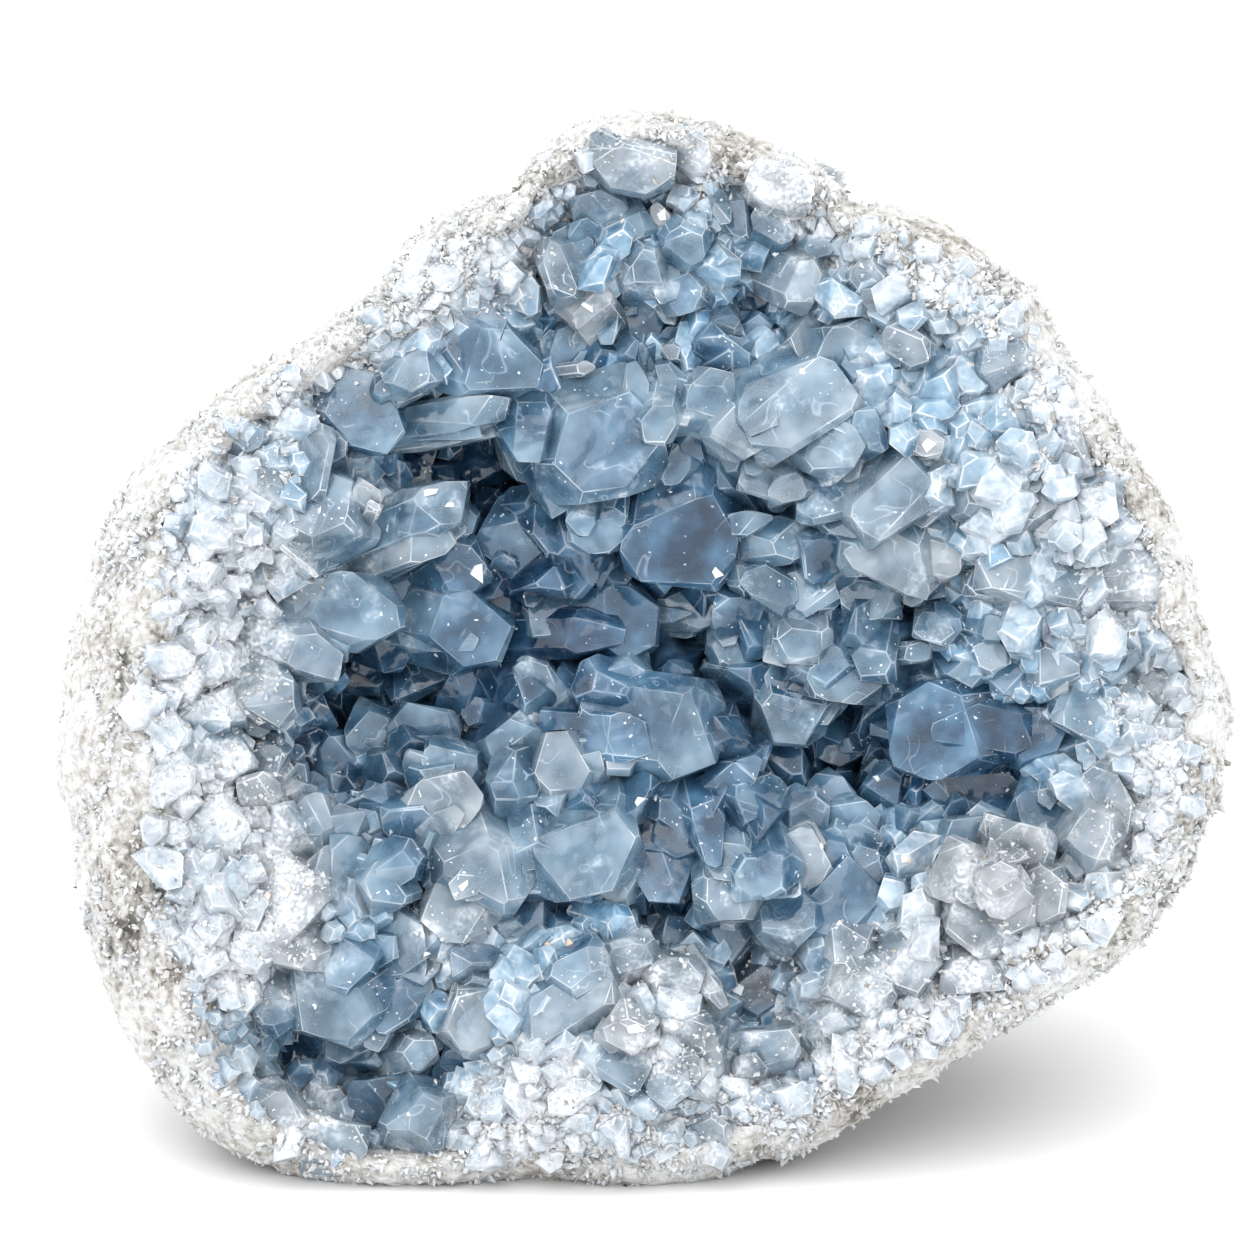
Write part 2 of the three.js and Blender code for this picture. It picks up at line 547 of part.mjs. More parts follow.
// The corners of the solid inside a set of planes, and its faces as rings of corner numbers
function facetedSolid(planes) {
  const corners = [];
  const onPlane = planes.map(() => new Set());
  for (let i = 0; i < planes.length; i += 1) {
    for (let j = i + 1; j < planes.length; j += 1) {
      for (let k = j + 1; k < planes.length; k += 1) {
        const point = meeting(planes[i], planes[j], planes[k]);
        const inside = point && planes.every(([x, y, z, distance]) => (
          x * point.x + y * point.y + z * point.z <= distance + 1e-6
        ));
        if (inside) {
          let number = corners.findIndex((corner) => corner.distanceTo(point) < 1e-4);
          if (number < 0) {
            number = corners.push(point) - 1;
          }
          [i, j, k].forEach((plane) => onPlane[plane].add(number));
        }
      }
    }
  }
  const faces = onPlane.map((numbers, plane) => {
    const normal = new THREE.Vector3(...planes[plane].slice(0, 3)).normalize();
    const ring = [...numbers];
    const centre = new THREE.Vector3();
    ring.forEach((number) => centre.addScaledVector(corners[number], 1 / ring.length));
    const start = ring.length ? corners[ring[0]].clone().sub(centre).normalize() : normal;
    const turned = normal.clone().cross(start);
    const angle = (number) => {
      const arm = corners[number].clone().sub(centre);
      return Math.atan2(arm.dot(turned), arm.dot(start));
    };
    return ring.sort((a, b) => angle(a) - angle(b));
  }).filter((ring) => ring.length > 2);
  return { corners, faces };
}

// One crystal, with its root carried back until it is inside the stone
function crystalSolid(entry, seed, plain) {
  const { direction, side, flank, middle } = placeCrystal(entry);
  const [across, thick, long] = entry.slice(5).map((size) => size * crystalGrowth);
  const foot = middle.clone().addScaledVector(direction, -long / 2);
  let bury = rootBury;
  while (bury < longestRoot) {
    const root = foot.clone().addScaledVector(direction, -bury);
    if (root.z < gridGround(root.x, root.y) - rootBury) break;
    bury += 1;
  }
  const { corners, faces } = facetedSolid(crystalPlanes(randomFrom(seed), bury / long, plain));
  const points = corners.map(({ x, y, z }) => {
    const point = foot.clone()
      .addScaledVector(side, (x * across) / 2)
      .addScaledVector(flank, (y * thick) / 2)
      .addScaledVector(direction, z * long);
    return toWorld(point.toArray());
  });
  const triangles = faces.flatMap((ring) => (
    ring.slice(2).flatMap((_, i) => [ring[0], ring[i + 1], ring[i + 2]])
  ));
  return closedSolid(points, triangles);
}

function geometryOf(solid) {
  const { vertProperties, triVerts } = solid.getMesh();
  const geometry = new THREE.BufferGeometry();
  geometry.setAttribute('position', new THREE.BufferAttribute(vertProperties, 3));
  geometry.setIndex(new THREE.BufferAttribute(triVerts, 1));
  return geometry;
}

function largestPiece(solid) {
  const pieces = solid.decompose();
  return pieces.reduce((best, piece) => (piece.volume() > best.volume() ? piece : best));
}

// The largest piece, with corners that nearly touch made one and the gaps that this closes filled
function onePiece(solid) {
  return largestPiece(solidOf(geometryOf(largestPiece(solid))));
}

// All that lies below a level, to cut the piece off flat
function below(level) {
  const reach = 400;
  const block = new THREE.BoxGeometry(reach, reach, reach);
  block.translate(0, 0, level - reach / 2);
  return solidOf(block);
}

function rindSolid() {
  return onePiece(shellSolid(0).subtract(below(0)));
}

function crustSolid() {
  let crust = crustBed();
  crystals.forEach((entry, i) => {
    const bulk = entry[5] + entry[6] + entry[7];
    if (bulk >= leastBulk) {
      crust = crust.add(crystalSolid(entry, i + 1, bulk < cutCornerBulk));
    }
  });
  return onePiece(crust.subtract(shellSolid(crustGap)).subtract(below(crustFloorGap)));
}

function namedMesh(name, solid, material) {
  const mesh = new THREE.Mesh(geometryOf(solid), material);
  mesh.name = name;
  return mesh;
}

const stone = new THREE.MeshStandardMaterial({ color: 0xcfccc6, roughness: 0.9, metalness: 0 });
const celestite = new THREE.MeshStandardMaterial({ color: 0x9fbad2, roughness: 0.2, metalness: 0 });

const specimen = new THREE.Group();
specimen.add(namedMesh('rind', rindSolid(), stone));
specimen.add(namedMesh('crystal_crust', crustSolid(), celestite));

export default specimen;
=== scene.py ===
import math
from collections import namedtuple
from functools import lru_cache
from itertools import combinations

import bpy
import numpy as np
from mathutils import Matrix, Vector, noise
from mathutils.bvhtree import BVHTree


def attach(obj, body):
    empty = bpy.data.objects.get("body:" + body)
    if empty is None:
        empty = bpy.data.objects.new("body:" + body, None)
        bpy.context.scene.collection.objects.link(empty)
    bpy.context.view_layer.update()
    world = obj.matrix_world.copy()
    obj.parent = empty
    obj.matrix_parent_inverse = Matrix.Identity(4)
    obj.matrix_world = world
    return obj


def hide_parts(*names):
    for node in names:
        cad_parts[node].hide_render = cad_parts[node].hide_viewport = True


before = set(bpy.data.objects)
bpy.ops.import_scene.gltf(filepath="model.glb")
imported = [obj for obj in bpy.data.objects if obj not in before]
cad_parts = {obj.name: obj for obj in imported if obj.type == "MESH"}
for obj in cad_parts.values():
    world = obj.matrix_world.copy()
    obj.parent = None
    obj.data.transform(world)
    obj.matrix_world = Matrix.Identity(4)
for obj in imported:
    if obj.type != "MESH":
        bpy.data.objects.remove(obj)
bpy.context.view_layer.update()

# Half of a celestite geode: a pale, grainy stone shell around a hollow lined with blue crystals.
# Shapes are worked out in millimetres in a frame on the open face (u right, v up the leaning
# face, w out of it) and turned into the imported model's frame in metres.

MM = 0.001
TURN = 2 * math.pi

# The face frame and the stone's outline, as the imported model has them
FACE_LEAN = math.radians(15)
FACE_CENTRE = np.array([0.1, -43.75, 83.2])
VIEW_DISTANCE = 700
OUTLINE = [
    [87.4, -0.6], [84.8, 6.3], [84, 12.4], [81.3, 19.4], [77.4, 27], [72, 35.5], [67.4, 42.4],
    [62.1, 50], [59.8, 54.7], [54.4, 59.3], [46.7, 64.4], [39, 67.4], [31, 69.6], [29.8, 73.6],
    [23.7, 75.4], [17.5, 78], [11.4, 80.8], [6.8, 81.6], [-0.9, 82.8], [-7.1, 81.6],
    [-13.2, 78.5], [-17.8, 74.7], [-20.1, 70.8], [-27, 68.5], [-34.7, 63.9], [-38.6, 59.3],
    [-41.6, 55.5], [-47, 51.6], [-53.1, 47], [-60.1, 43.2], [-66.2, 38.6], [-72.3, 33.2],
    [-78.5, 27.8], [-82.3, 21.7], [-84.6, 15.5], [-86.9, 7.8], [-88.5, 0.2], [-89.7, -7.5],
    [-90, -16.7], [-89.1, -22.9], [-87.7, -27.5], [-87.2, -33.6], [-86.2, -42.9], [-82.3, -52],
    [-77.7, -61.3], [-73.1, -69], [-65.4, -75.9], [-56.2, -79.7], [-48.5, -82.3], [-37.8, -83],
    [-29.3, -83], [-22.4, -81.2], [-15.5, -81.2], [-7, -83], [5.2, -82.4], [12.9, -80],
    [17.5, -78], [21.4, -78.2], [28.3, -74.3], [36, -69.4], [46.7, -63.1], [57.5, -57.4],
    [66.7, -51.3], [76.7, -44.4], [80.5, -39], [84.3, -33.6], [85.9, -27.5], [88.5, -22.9],
    [89.4, -15.2], [90, -7.5],
]
RIM_CREST = 0.84
RIM_ROLL_OFF = 14
SHELL_DEPTH = 88
BACK_ROUNDNESS = 2.7
BACK_LUMPS = 0.022
CRUST_EDGE = 0.92
CRUST_SET_BACK = 0.12
CRUST_SET_BACK_DIRECTION = math.radians(190)
CRUST_SET_BACK_NARROWNESS = 5
CRUST_THICKNESS = 3
RIM_GROUND = -3
MIDDLE_GROUND = -15
WALL_SLOPE = 1.3
ROOT_SHARE = 0.75
ROOT_BURY = 3
LONGEST_ROOT = 26

# The large crystals, each as [u, v, w, toward, out, across, thick, long, paleness]
CRYSTALS = [
    # top of the face
    [0, 70.5, -14, 90, 75, 8, 7, 6, 0.05],
    [-7.5, 69, -10, 110, 70, 8, 6, 6, 0.45],
    [-2, 76, -4, 80, 70, 12, 8, 6, 0.6],
    [8, 77.5, -6, 60, 65, 7, 6, 5, 0.75],
    [13.5, 66.5, -8, -70, 40, 6, 6, 10, 0.45],
    [2.5, 67, -12, 40, 60, 4, 3, 3, 0.95],
    [-3, 64, -11, -60, 50, 8, 5, 5, 0.4],
    [6.3, 63.5, -8, 60, 60, 7, 6, 7, 0.5],
    [0.3, 59.5, -9, 80, 60, 8, 7, 8, 0.55],
    [-12, 63, -12, 120, 55, 7, 7, 6, 0.35],
    [-14, 58, -8, -160, 60, 9, 5, 6, 0.6],
    [20, 66, -9, 60, 60, 6, 5, 5, 0.4],
    [27, 62, -9, -20, 50, 5, 5, 6, 0.4],
    [17, 57, -16, 30, 60, 8, 7, 6, 0.15],
    [24.7, 56, -7, -30, 55, 8, 7, 8, 0.65],
    [21, 72, -4, 70, 70, 9, 7, 6, 0.85],
    [28, 72.5, -9, 40, 45, 4, 4, 5, 0.75],
    [-14, 53, -17, 150, 60, 7, 6, 5, 0.1],
    [-9, 53, -11, 130, 55, 7, 6, 6, 0.9],
    [-5.7, 50.3, -12, -92, 35, 4.5, 5, 10, 0.4],
    [0, 50.5, -15, -85, 40, 7.5, 7, 10, 0.12],
    [5.5, 54, -10, -80, 45, 7, 7, 9, 0.5],
    [12, 50, -12, -80, 60, 5, 5, 6, 0.5],
    [17, 48.5, -14, 50, 50, 6, 6, 9, 0.25],
    [25.5, 48, -8, -150, 50, 8, 6, 10, 0.6],
    [-12.5, 46.5, -15, 160, 55, 9, 7, 6, 0.3],
    [-10, 43.3, -12, 5, 30, 2.6, 3, 6, 0.85],
    [-10, 40.3, -14, 5, 35, 3.4, 6, 10, 0.3],
    [4, 46, -11, 160, 50, 3, 4, 5, 0.8],
    [-1.5, 41, -8, 100, 35, 5, 6, 9, 0.5],
    [4.3, 41.3, -9, 125, 35, 5, 6, 10, 0.4],
    [11, 39.5, -7, 70, 45, 9, 8, 9, 0.6],
    [2, 35, -7, -100, 40, 6, 6, 8, 0.55],
    # upper left
    [-23.5, 45, -6, -20, 28, 13, 10, 16, 0.35],
    [-29, 35.7, -9, 8, 18, 5.5, 8, 16, 0.45],
    [-43, 35.5, -4, -40, 40, 13, 11, 14, 0.28],
    [-61, 32.7, -3, 0, 45, 8, 7, 8, 0.3],
    [-35.5, 41.5, -4, -60, 60, 8, 6, 5, 0.55],
    [-33.5, 21, -9, 22, 25, 9, 9, 15, 0.5],
    [-48.5, 18.5, -3, -60, 65, 12, 11, 8, 0.55],
    [-42.5, 24.5, -4, 60, 60, 5, 4, 5, 0.8],
    [-58.5, 24.7, -3, -150, 65, 6, 5, 4, 0.7],
    [-50, 29, -4, -10, 55, 10, 6, 6, 0.6],
    [-46.5, 6, -8, -8, 22, 11, 10, 19, 0.4],
    [-52.5, 0, -6, -22, 28, 8, 8, 13, 0.55],
    [-57, -8, -5, -55, 35, 8, 6, 8, 0.6],
    [-52.6, 13.2, -1, -40, 20, 1.2, 1.5, 7, 0.95],
    # inside the hollow, left
    [-35, 30, -20, -20, 45, 9, 7, 8, 0.05],
    [-24.5, 28.5, -25, -70, 50, 9, 9, 8, 0],
    [-31, 20, -17, 35, 28, 8, 7, 11, 0.2],
    [-28, 13, -16, 30, 45, 9, 9, 8, 0.25],
    [-19.5, 17.5, -18, 60, 70, 10, 9, 6, 0.3],
    [-38, 10.5, -21, -100, 40, 7, 7, 12, 0.1],
    [-27.5, 3, -14, -15, 38, 12, 11, 17, 0.25],
    [-14.5, 5.5, -16, -100, 50, 8, 8, 10, 0.3],
    [-4.5, 4.3, -15, -6, 32, 13, 11, 15, 0.15],
    [-15.5, -4, -19, 40, 60, 8, 7, 5, 0.35],
    [6.5, 6.3, -18, 0, 40, 6, 6, 11, 0.45],
    [13.7, 0.2, -17, -90, 40, 7.5, 6, 8, 0.4],
    # the middle
    [-7.3, 31, -4, -82, 45, 17, 14, 20, 0.4],
    [-15, 29, -10, -72, 35, 7, 8, 19, 0.3],
    [-7.5, 17.5, -10, -90, 35, 8, 6, 6, 0.4],
    [5, 19, -7, -97, 33, 15.5, 12, 22, 0.12],
    [11, 21, -11, -105, 35, 6, 8, 15, 0.25],
    [4.8, 28.5, -13, 150, 50, 7, 6, 7, 0.3],
    [13.3, 31.5, -13, 80, 45, 6, 7, 10, 0.12],
    [10.8, 12, -12, -40, 50, 4, 4, 6, 0.9],
    [14.8, 15.7, -19, -60, 50, 6, 5, 7, 0.12],
    # upper right
    [24, 36, -1, -60, 55, 16, 12, 12, 0.55],
    [29, 30.7, -1, -25, 50, 8, 7, 11, 0.55],
    [17.7, 25, -6, -110, 60, 6, 5, 6, 0.6],
    [22, 24.5, -5, -80, 60, 6, 5, 6, 0.65],
    [28.7, 22.7, -4, -80, 60, 10, 8, 8, 0.45],
    [38, 23, -1, -50, 55, 15, 11, 12, 0.6],
    [38, 15, -4, -115, 42, 12, 9, 13, 0.65],
    [21.5, 17, -9, 8, 35, 6.5, 7, 11, 0.4],
    [35, 34, -2, 30, 60, 6, 5, 5, 0.4],
    [43.5, 31.8, -1, -10, 45, 4.5, 4, 7, 1],
    [47, 34.5, -4, 40, 60, 6, 5, 6, 0.35],
    [33.5, 43.5, -5, -80, 55, 7, 6, 7, 0.3],
    [30.5, 47.8, -5, 100, 60, 9, 8, 7, 0.5],
    [45, 43.3, -6, -20, 50, 5, 5, 9, 0.3],
    [40.5, 48.2, -3, 60, 70, 7, 6, 5, 0.75],
    [35.5, 57, -3, 40, 70, 7, 6, 5, 0.75],
    [56, 43.5, -3, -60, 65, 8, 7, 5, 0.55],
    [49, 38, -6, -60, 55, 7, 5, 6, 0.3],
    [51, 23, -2, -110, 60, 7, 6, 6, 0.65],
    [61, 22, -2, -60, 70, 9, 7, 5, 0.75],
    [66, 31, -3, 20, 65, 8, 6, 5, 0.8],
    [71, 24, -5, 0, 60, 8, 7, 5, 0.5],
    # under the upper right lobe
    [18.7, 9, -11, -120, 60, 8, 6, 6, 0.45],
    [26, 9.3, -11, -60, 55, 8, 7, 8, 0.4],
    [24, 0.8, -10, -90, 50, 8, 7, 7, 0.6],
    [30.8, -3.8, -11, -105, 42, 10, 8, 10, 0.55],
    [22, -9.7, -13, -95, 38, 11, 8, 13, 0.4],
    [34.5, 7.7, -11, -90, 50, 8, 6, 7, 0.4],
    [41.5, -0.2, -11, 5, 35, 3.5, 5, 7, 0.55],
    [44, 3, -10, -100, 60, 5.5, 5, 6, 0.5],
    [43.5, 10.5, -13, -10, 50, 7, 6, 10, 0.2],
    [55.5, 11.5, -4, -100, 60, 9, 8, 8, 0.65],
    [53, 3.5, -7, -20, 50, 5, 5, 9, 0.4],
    [53.3, -1.3, -7, -60, 50, 5, 5, 6, 0.55],
    [50, -3.5, -11, -60, 50, 8, 6, 8, 0.3],
    [64, 9, -4, -100, 65, 8, 7, 6, 0.7],
    [73, 10.3, -5, -90, 65, 12, 10, 7, 0.75],
    [64, -2.5, -5, 0, 60, 7, 7, 10, 0.65],
    [67.5, -11, -5, -120, 60, 9, 9, 8, 0.5],
    [73, -2, -6, -40, 60, 6, 5, 5, 0.5],
    [79, -5, -9, -30, 50, 8, 7, 6, 0.85],
    # the deep blue group on the right
    [46.5, -12, -8, 186, 30, 13, 13, 19, 0.1],
    [61, -13, -10, -20, 50, 11, 9, 8, 0.12],
    [50.5, -22, -15, -90, 35, 15, 9, 8, 0.02],
    [60.5, -25, -9, -110, 50, 8, 7, 8, 0.35],
    [43.2, -26.3, -15, 120, 50, 7, 6, 6, 0.2],
    [49.5, -27.7, -9, 100, 50, 8, 5, 6, 0.45],
    [33, -26.3, -12, 45, 50, 9, 8, 9, 0.35],
    [34, -34.3, -10, -30, 50, 8, 7, 9, 0.3],
    [37.3, -20.5, -18, 60, 50, 6, 6, 7, 0.2],
    [29.5, -14, -23, -120, 50, 10, 9, 10, 0],
    [39.7, -31.8, -9, -135, 72, 3.5, 4, 5, 1],
    [68.5, -28.5, -3, 150, 55, 10, 9, 11, 0.7],
    [72, -22, -5, 30, 60, 10, 6, 6, 0.85],
    # the white rosette
    [47, -33.5, -1, 160, 50, 8, 7, 8, 0.85],
    [50, -41.5, -1, -130, 50, 10, 9, 10, 0.85],
    [58, -29.3, 0, 80, 55, 9, 7, 8, 0.85],
    [61.5, -37.3, -1, -10, 50, 10, 8, 9, 0.86],
    [55, -36.3, 2, -60, 82, 7, 7, 6, 0.95],
    [50, -50, -3, -90, 50, 8, 6, 6, 0.75],
    # lower middle
    [4, -12, -8, -8, 30, 14, 13, 17, 0.3],
    [-4, -16.5, -10, -100, 50, 6, 5, 7, 0.5],
    [-13, -17.3, -7, 100, 45, 10, 9, 12, 0.6],
    [-21, -14, -12, 130, 50, 8, 7, 8, 0.45],
    [-34, -12, -21, 80, 50, 10, 8, 9, 0.3],
    [-43, -12.7, -21, 160, 50, 8, 6, 8, 0.35],
    [-47.5, -17, -21, 20, 50, 8, 7, 9, 0.15],
    [-44, -5, -29, -90, 60, 11, 8, 6, 0.03],
    [-33, -4.5, -26, -60, 60, 12, 8, 6, 0.1],
    [-29.5, -17.3, -15, 70, 50, 9, 7, 7, 0.35],
    [-31.7, -24, -6, 42, 35, 9, 8, 14, 0.7],
    [-24.5, -31.8, -5, 60, 65, 14, 12, 10, 0.5],
    [-29, -39.5, -4, -150, 45, 9, 8, 14, 0.65],
    [-8.5, -32, -3, -80, 50, 14, 12, 13, 0.48],
    [3, -31.7, -7, -86, 42, 11, 10, 18, 0.2],
    [12.7, -38, -5, -90, 55, 10, 9, 10, 0.55],
    [25.3, -31.3, -8, 30, 55, 8, 7, 7, 0.7],
    [29.5, -39.7, -6, -50, 50, 13, 11, 13, 0.25],
    [20, -42, -13, -90, 55, 8, 7, 9, 0.4],
    [12.5, -46.5, -16, -40, 60, 12, 7, 6, 0.1],
    [2.7, -43, -19, 0, 60, 7, 4, 4, 0],
    [17.5, -53, -16, -60, 50, 8, 7, 7, 0.1],
    [-4, -46.3, -5, 110, 60, 10, 7, 7, 0.6],
    [4.5, -49.5, -4, 80, 60, 8, 7, 10, 0.65],
    [10.3, -52.3, -6, -50, 30, 4, 4, 9, 0.85],
    [-18.5, -41, -11, -60, 55, 10, 7, 8, 0.25],
    # along the lower edge
    [-11, -56, 0, -60, 70, 13, 11, 8, 0.6],
    [-2.5, -57.7, 1, 60, 75, 6, 6, 5, 0.9],
    [-48, -54.5, -2, -110, 50, 14, 12, 13, 0.4],
    [-36.7, -53.5, -7, -60, 50, 10, 8, 9, 0.3],
    [-57, -54, -6, -150, 50, 8, 7, 8, 0.3],
    [-38, -45, -4, 10, 50, 9, 8, 12, 0.45],
    [-54.5, -39.5, 0, -40, 60, 12, 9, 10, 0.78],
    [-54.5, -46.5, -1, -100, 60, 10, 6, 6, 0.75],
    [-50.7, -25, -5, 80, 45, 7, 7, 9, 0.6],
    [-55, -26, -4, 110, 50, 6, 6, 8, 0.65],
    [-45.5, -27, -6, 40, 45, 6, 5, 8, 0.6],
    [-59, -22.3, -4, 95, 45, 6, 5, 9, 0.7],
    [-45.5, -32.7, -5, 10, 45, 5, 5, 10, 0.35],
    [-58, -17.3, -9, -20, 55, 7, 5, 6, 0.4],
    [-64, -17.5, -4, -60, 60, 7, 6, 6, 0.45],
    [-52, -61.5, -17, -60, 55, 8, 6, 6, 0],
    [-44, -61.5, -11, -40, 40, 8, 7, 10, 0.3],
    [-41, -69.3, -12, 95, 45, 8, 7, 10, 0.08],
    [-33.5, -70.7, -3, 70, 55, 10, 9, 10, 0.5],
    [-48, -74.7, -4, 80, 55, 10, 8, 9, 0.55],
    [-56, -70.5, -3, 30, 60, 10, 8, 9, 0.7],
    [-34.5, -61.5, -7, 20, 50, 6, 5, 8, 0.6],
    [-28, -63, -8, 60, 60, 6, 5, 7, 0.25],
    [-5, -63.7, -1, -120, 60, 9, 8, 8, 0.45],
    [4, -66.5, -1, -60, 60, 9, 8, 10, 0.45],
    [10.3, -73, -4, 60, 60, 6, 6, 6, 0.6],
    [-27, -56, -2, 160, 60, 10, 8, 9, 0.7],
    [8.5, -60, -2, 20, 55, 7, 7, 9, 0.6],
    [33, -52, -2, -120, 60, 9, 8, 9, 0.7],
    [41, -49.3, -2, -40, 60, 9, 7, 8, 0.7],
    [19, -60, -3, 100, 60, 8, 6, 7, 0.65],
]

# Deep gaps between the crystals, where the ground is cut lower and the crystals and ground are painted
# darker as shade, each as [u, v, radius, depth]
GAPS = [
    [-19.5, 37, 5, 7], [-22, 28, 6, 8], [-31, 27, 5, 7], [-40, 26, 4, 4], [-8.5, 46, 4, 5],
    [8, 3, 4, 7], [11.5, -4, 5, 9], [14.5, -12, 4, 7], [23, -16, 5, 7], [31, -19, 5, 7],
    [-37, 0, 5, 6], [-53, -11, 4, 7], [-55, -18, 4, 6], [-30, -8, 6, 5], [-44, -9, 7, 5],
    [-1, -44, 4, 6], [19, -54, 5, 6], [-14, -44, 4, 5], [39, -24, 4, 6], [56, -18, 5, 4],
    [-52, -61, 5, 6], [-45, -66, 5, 6], [-39, -71, 4, 5], [-33, -64, 4, 4],
    [-1, 70, 4, 4], [17.5, 56, 4, 5], [38, 52, 3.5, 4], [58, 34, 3.5, 4], [43, 9, 4, 5],
]

# Small bright facets on the crystals, their pale colour a painted highlight, some stained peach, each as
# [u, v, size, warmth]
SPARKS = [
    [-26, 12.5, 3.4, 0], [-33, 24.5, 3.0, 0], [-30, 22.5, 2.0, 0], [10.8, 12, 2.6, 0],
    [43.5, 31.8, 3.6, 0], [-1, -23, 2.2, 0], [1.5, -22.5, 1.6, 0], [14, -52, 2.6, 0],
    [35.5, -19.5, 1.8, 0], [2.5, 67, 2.4, 0], [-9, 53, 2.6, 0], [39.7, -31.8, 2.4, 0.8],
    [-58, -37.5, 2.2, 0.7], [-55, -36.6, 2.4, 0.8], [-52, -35.6, 2.0, 0.6], [-12, -44.8, 1.8, 1],
    [-15, -45, 1.4, 0.8], [-3.5, 66, 1.4, 0.8], [24, 43, 1.8, 0.9], [-46, 49, 1.6, 0.8],
    [-60, 35, 1.4, 0.8], [-65, 29, 1.6, 0.9], [-28, -36, 2.6, 0.3], [-2, -58, 3.0, 0.35],
    [27, -30, 1.6, 0], [-62, 7, 1.8, 0.2], [20, 61, 1.6, 0], [50, 44, 1.5, 0.4],
]

# Where white sugary crystals cover the blue ones, each as [u, v, radius, strength]
FROSTED = [
    [-30, -45, 8, 0.5], [0, -52, 9, 0.6], [20, -50, 8, 0.5], [5, -61, 9, 0.8],
    [36, -51, 9, 0.6], [-60, 14, 11, 0.7], [-66, -3, 12, 0.8], [-66, -24, 13, 1], [-57, -36, 9, 0.9],
    [-62, -45, 12, 1], [-70, 10, 10, 0.7], [-64, 28, 9, 0.6], [-36, 56, 9, 1], [-24, 61, 9, 1],
    [-47, 47, 7, 0.8], [-55, 38, 7, 0.6], [-15, -67, 9, 1], [-16, -76, 9, 1], [-26, -72, 7, 0.8],
    [1, -74, 8, 0.6], [54, -37, 10, 0.6], [24, 72, 8, 0.8], [-13, 77, 6, 0.7], [62, 42, 9, 0.6],
    [70, 22, 9, 0.5], [72, 8, 8, 0.5], [78, -12, 9, 0.6], [76, -30, 9, 0.7], [30, -60, 9, 0.7],
    [14, -70, 9, 0.7], [48, -53, 9, 0.6], [-78, -12, 9, 0.8], [-50, -72, 6, 0.5], [45, 58, 7, 0.7],
]

# The camera and the light
LENS = 130.8
SENSOR = 36
AIM = (-2.9, 3.7)
WORLD_LIGHT = 1.62
SUN_LIGHT = 0.9
SUN_ANGLE = math.radians(55)
SUN_PLACE = (-0.45, -0.75, 1.0)
SUN_COLOUR = (1, 0.995, 0.985)
SKY_AT_HORIZON = (0.92, 0.93, 0.94)
SKY_ABOVE = (1.0, 1.0, 1.0)
FLOOR_COLOUR = (0.97, 0.97, 0.97)
FLOOR_REACH = 8

# The stone's mesh and its roughness, in millimetres
STONE_RAYS = 520
BARE_RINGS = 20
BACK_RINGS = 90
LUMP_SIZE = 13
LUMP_HEIGHT = 0.9
PEBBLE_SIZE = 2.6
PEBBLE_HEIGHT = 0.55
STONE_SHADE = 0.66
STAIN_DEPTH = 30

# The ground under the crystals, looked up on a square grid
GROUND_STEP = 0.5
GROUND_REACH = 97
EDGE_BLEND = 0.05
BED_RAYS = 180
BED_RINGS = 50
BED_DEPTH = 2.4
BED_BUMP_SIZE = 2.2
BED_BUMP_HEIGHT = 0.7
UNDERSIDE_EVERY = 7

# Crystals that fill the ground between the large ones: the zone's reach as shares of the way
# out, their spacing, smallest and largest size, how pale they are and how deep they are sunk
FILLERS = {
    "hollow": (0.0, 0.62, 4.6, 5.0, 9.0, 0.28, 0.3),
    "wall": (0.5, 0.84, 2.9, 3.6, 7.0, 0.65, 0.45),
    "rim": (0.72, 0.925, 2.0, 2.0, 5.0, 0.64, 0.76),
}
FILLER_REACH = 95
FILLER_JITTER = 0.42
FILLER_TIP = 0.3
OPEN_GAP = 5.5
# Painted shade on the small crystals: darker in the deep gaps, and darker for each millimetre lower the
# ground lies
PAINTED_GAP_SHADE = 0.06
PAINTED_DEPTH_SHADE = 0.014
RIM_SHADE = 0.5
RIM_SHADE_START = 0.72
SHARED_TONE_REACH = 7
ZONE_TONE_WEIGHT = 0.7
TEMPLATES = 24

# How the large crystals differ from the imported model's: those broader than SLIM are larger, each
# has smaller twins for every bulk that it passes, and none reaches far past the outline
HERO_GROWTH = 1.2
SLIM = 5
TWIN_BULKS = (12, 22, 34)
TWIN_LEAN = 0.07
HERO_OUTERMOST = 1.05
TWIN_OUTERMOST = 0.93
ROOT_OUTERMOST = 0.88
SHORT_ROOT = 0.5
EDGE_WIDTH = 0.12
SMALL_EDGE_WIDTH = 0.035
FACET_TONE = 0.06
FROST_TONE = 0.08
RIM_FROST = 0.55
SPARK_SIZE = 0.6
ROUNDING = 0.3
SMALL_ROUNDING = 0.7
CUT_CORNERS = 5
INNER_RINGS = 26

# The sugary grains on the stone
GRAIN_SIZES = (0.3, 1.0)
FROST_GRAIN_SCALE = 0.68
DIMMEST_GRAIN = 0.55
DIMMEST_FROST_GRAIN = 0.8
DARK_GRAINS = 0.1
RIM_OVERLAP = 0.12
GRAINY_SIDE_RINGS = 13
FROST_GRAINS = 14000
RIM_GRAINS = 15000
SIDE_GRAINS = 12000

rng = np.random.default_rng(7)


# Numbers and places

def random_from(seed):
    """A repeatable source of random numbers from 0 to 1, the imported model's own."""
    mask = 0xFFFFFFFF
    state = seed & mask

    def draw():
        nonlocal state
        state = (state + 0x6D2B79F5) & mask
        t = ((state ^ (state >> 15)) * (state | 1)) & mask
        t ^= (t + (((t ^ (t >> 7)) * (t | 61)) & mask)) & mask
        return ((t ^ (t >> 14)) & mask) / 4294967296

    return draw


def smooth_step(low, high, value):
    t = np.clip((value - low) / (high - low), 0, 1)
    return t * t * (3 - 2 * t)


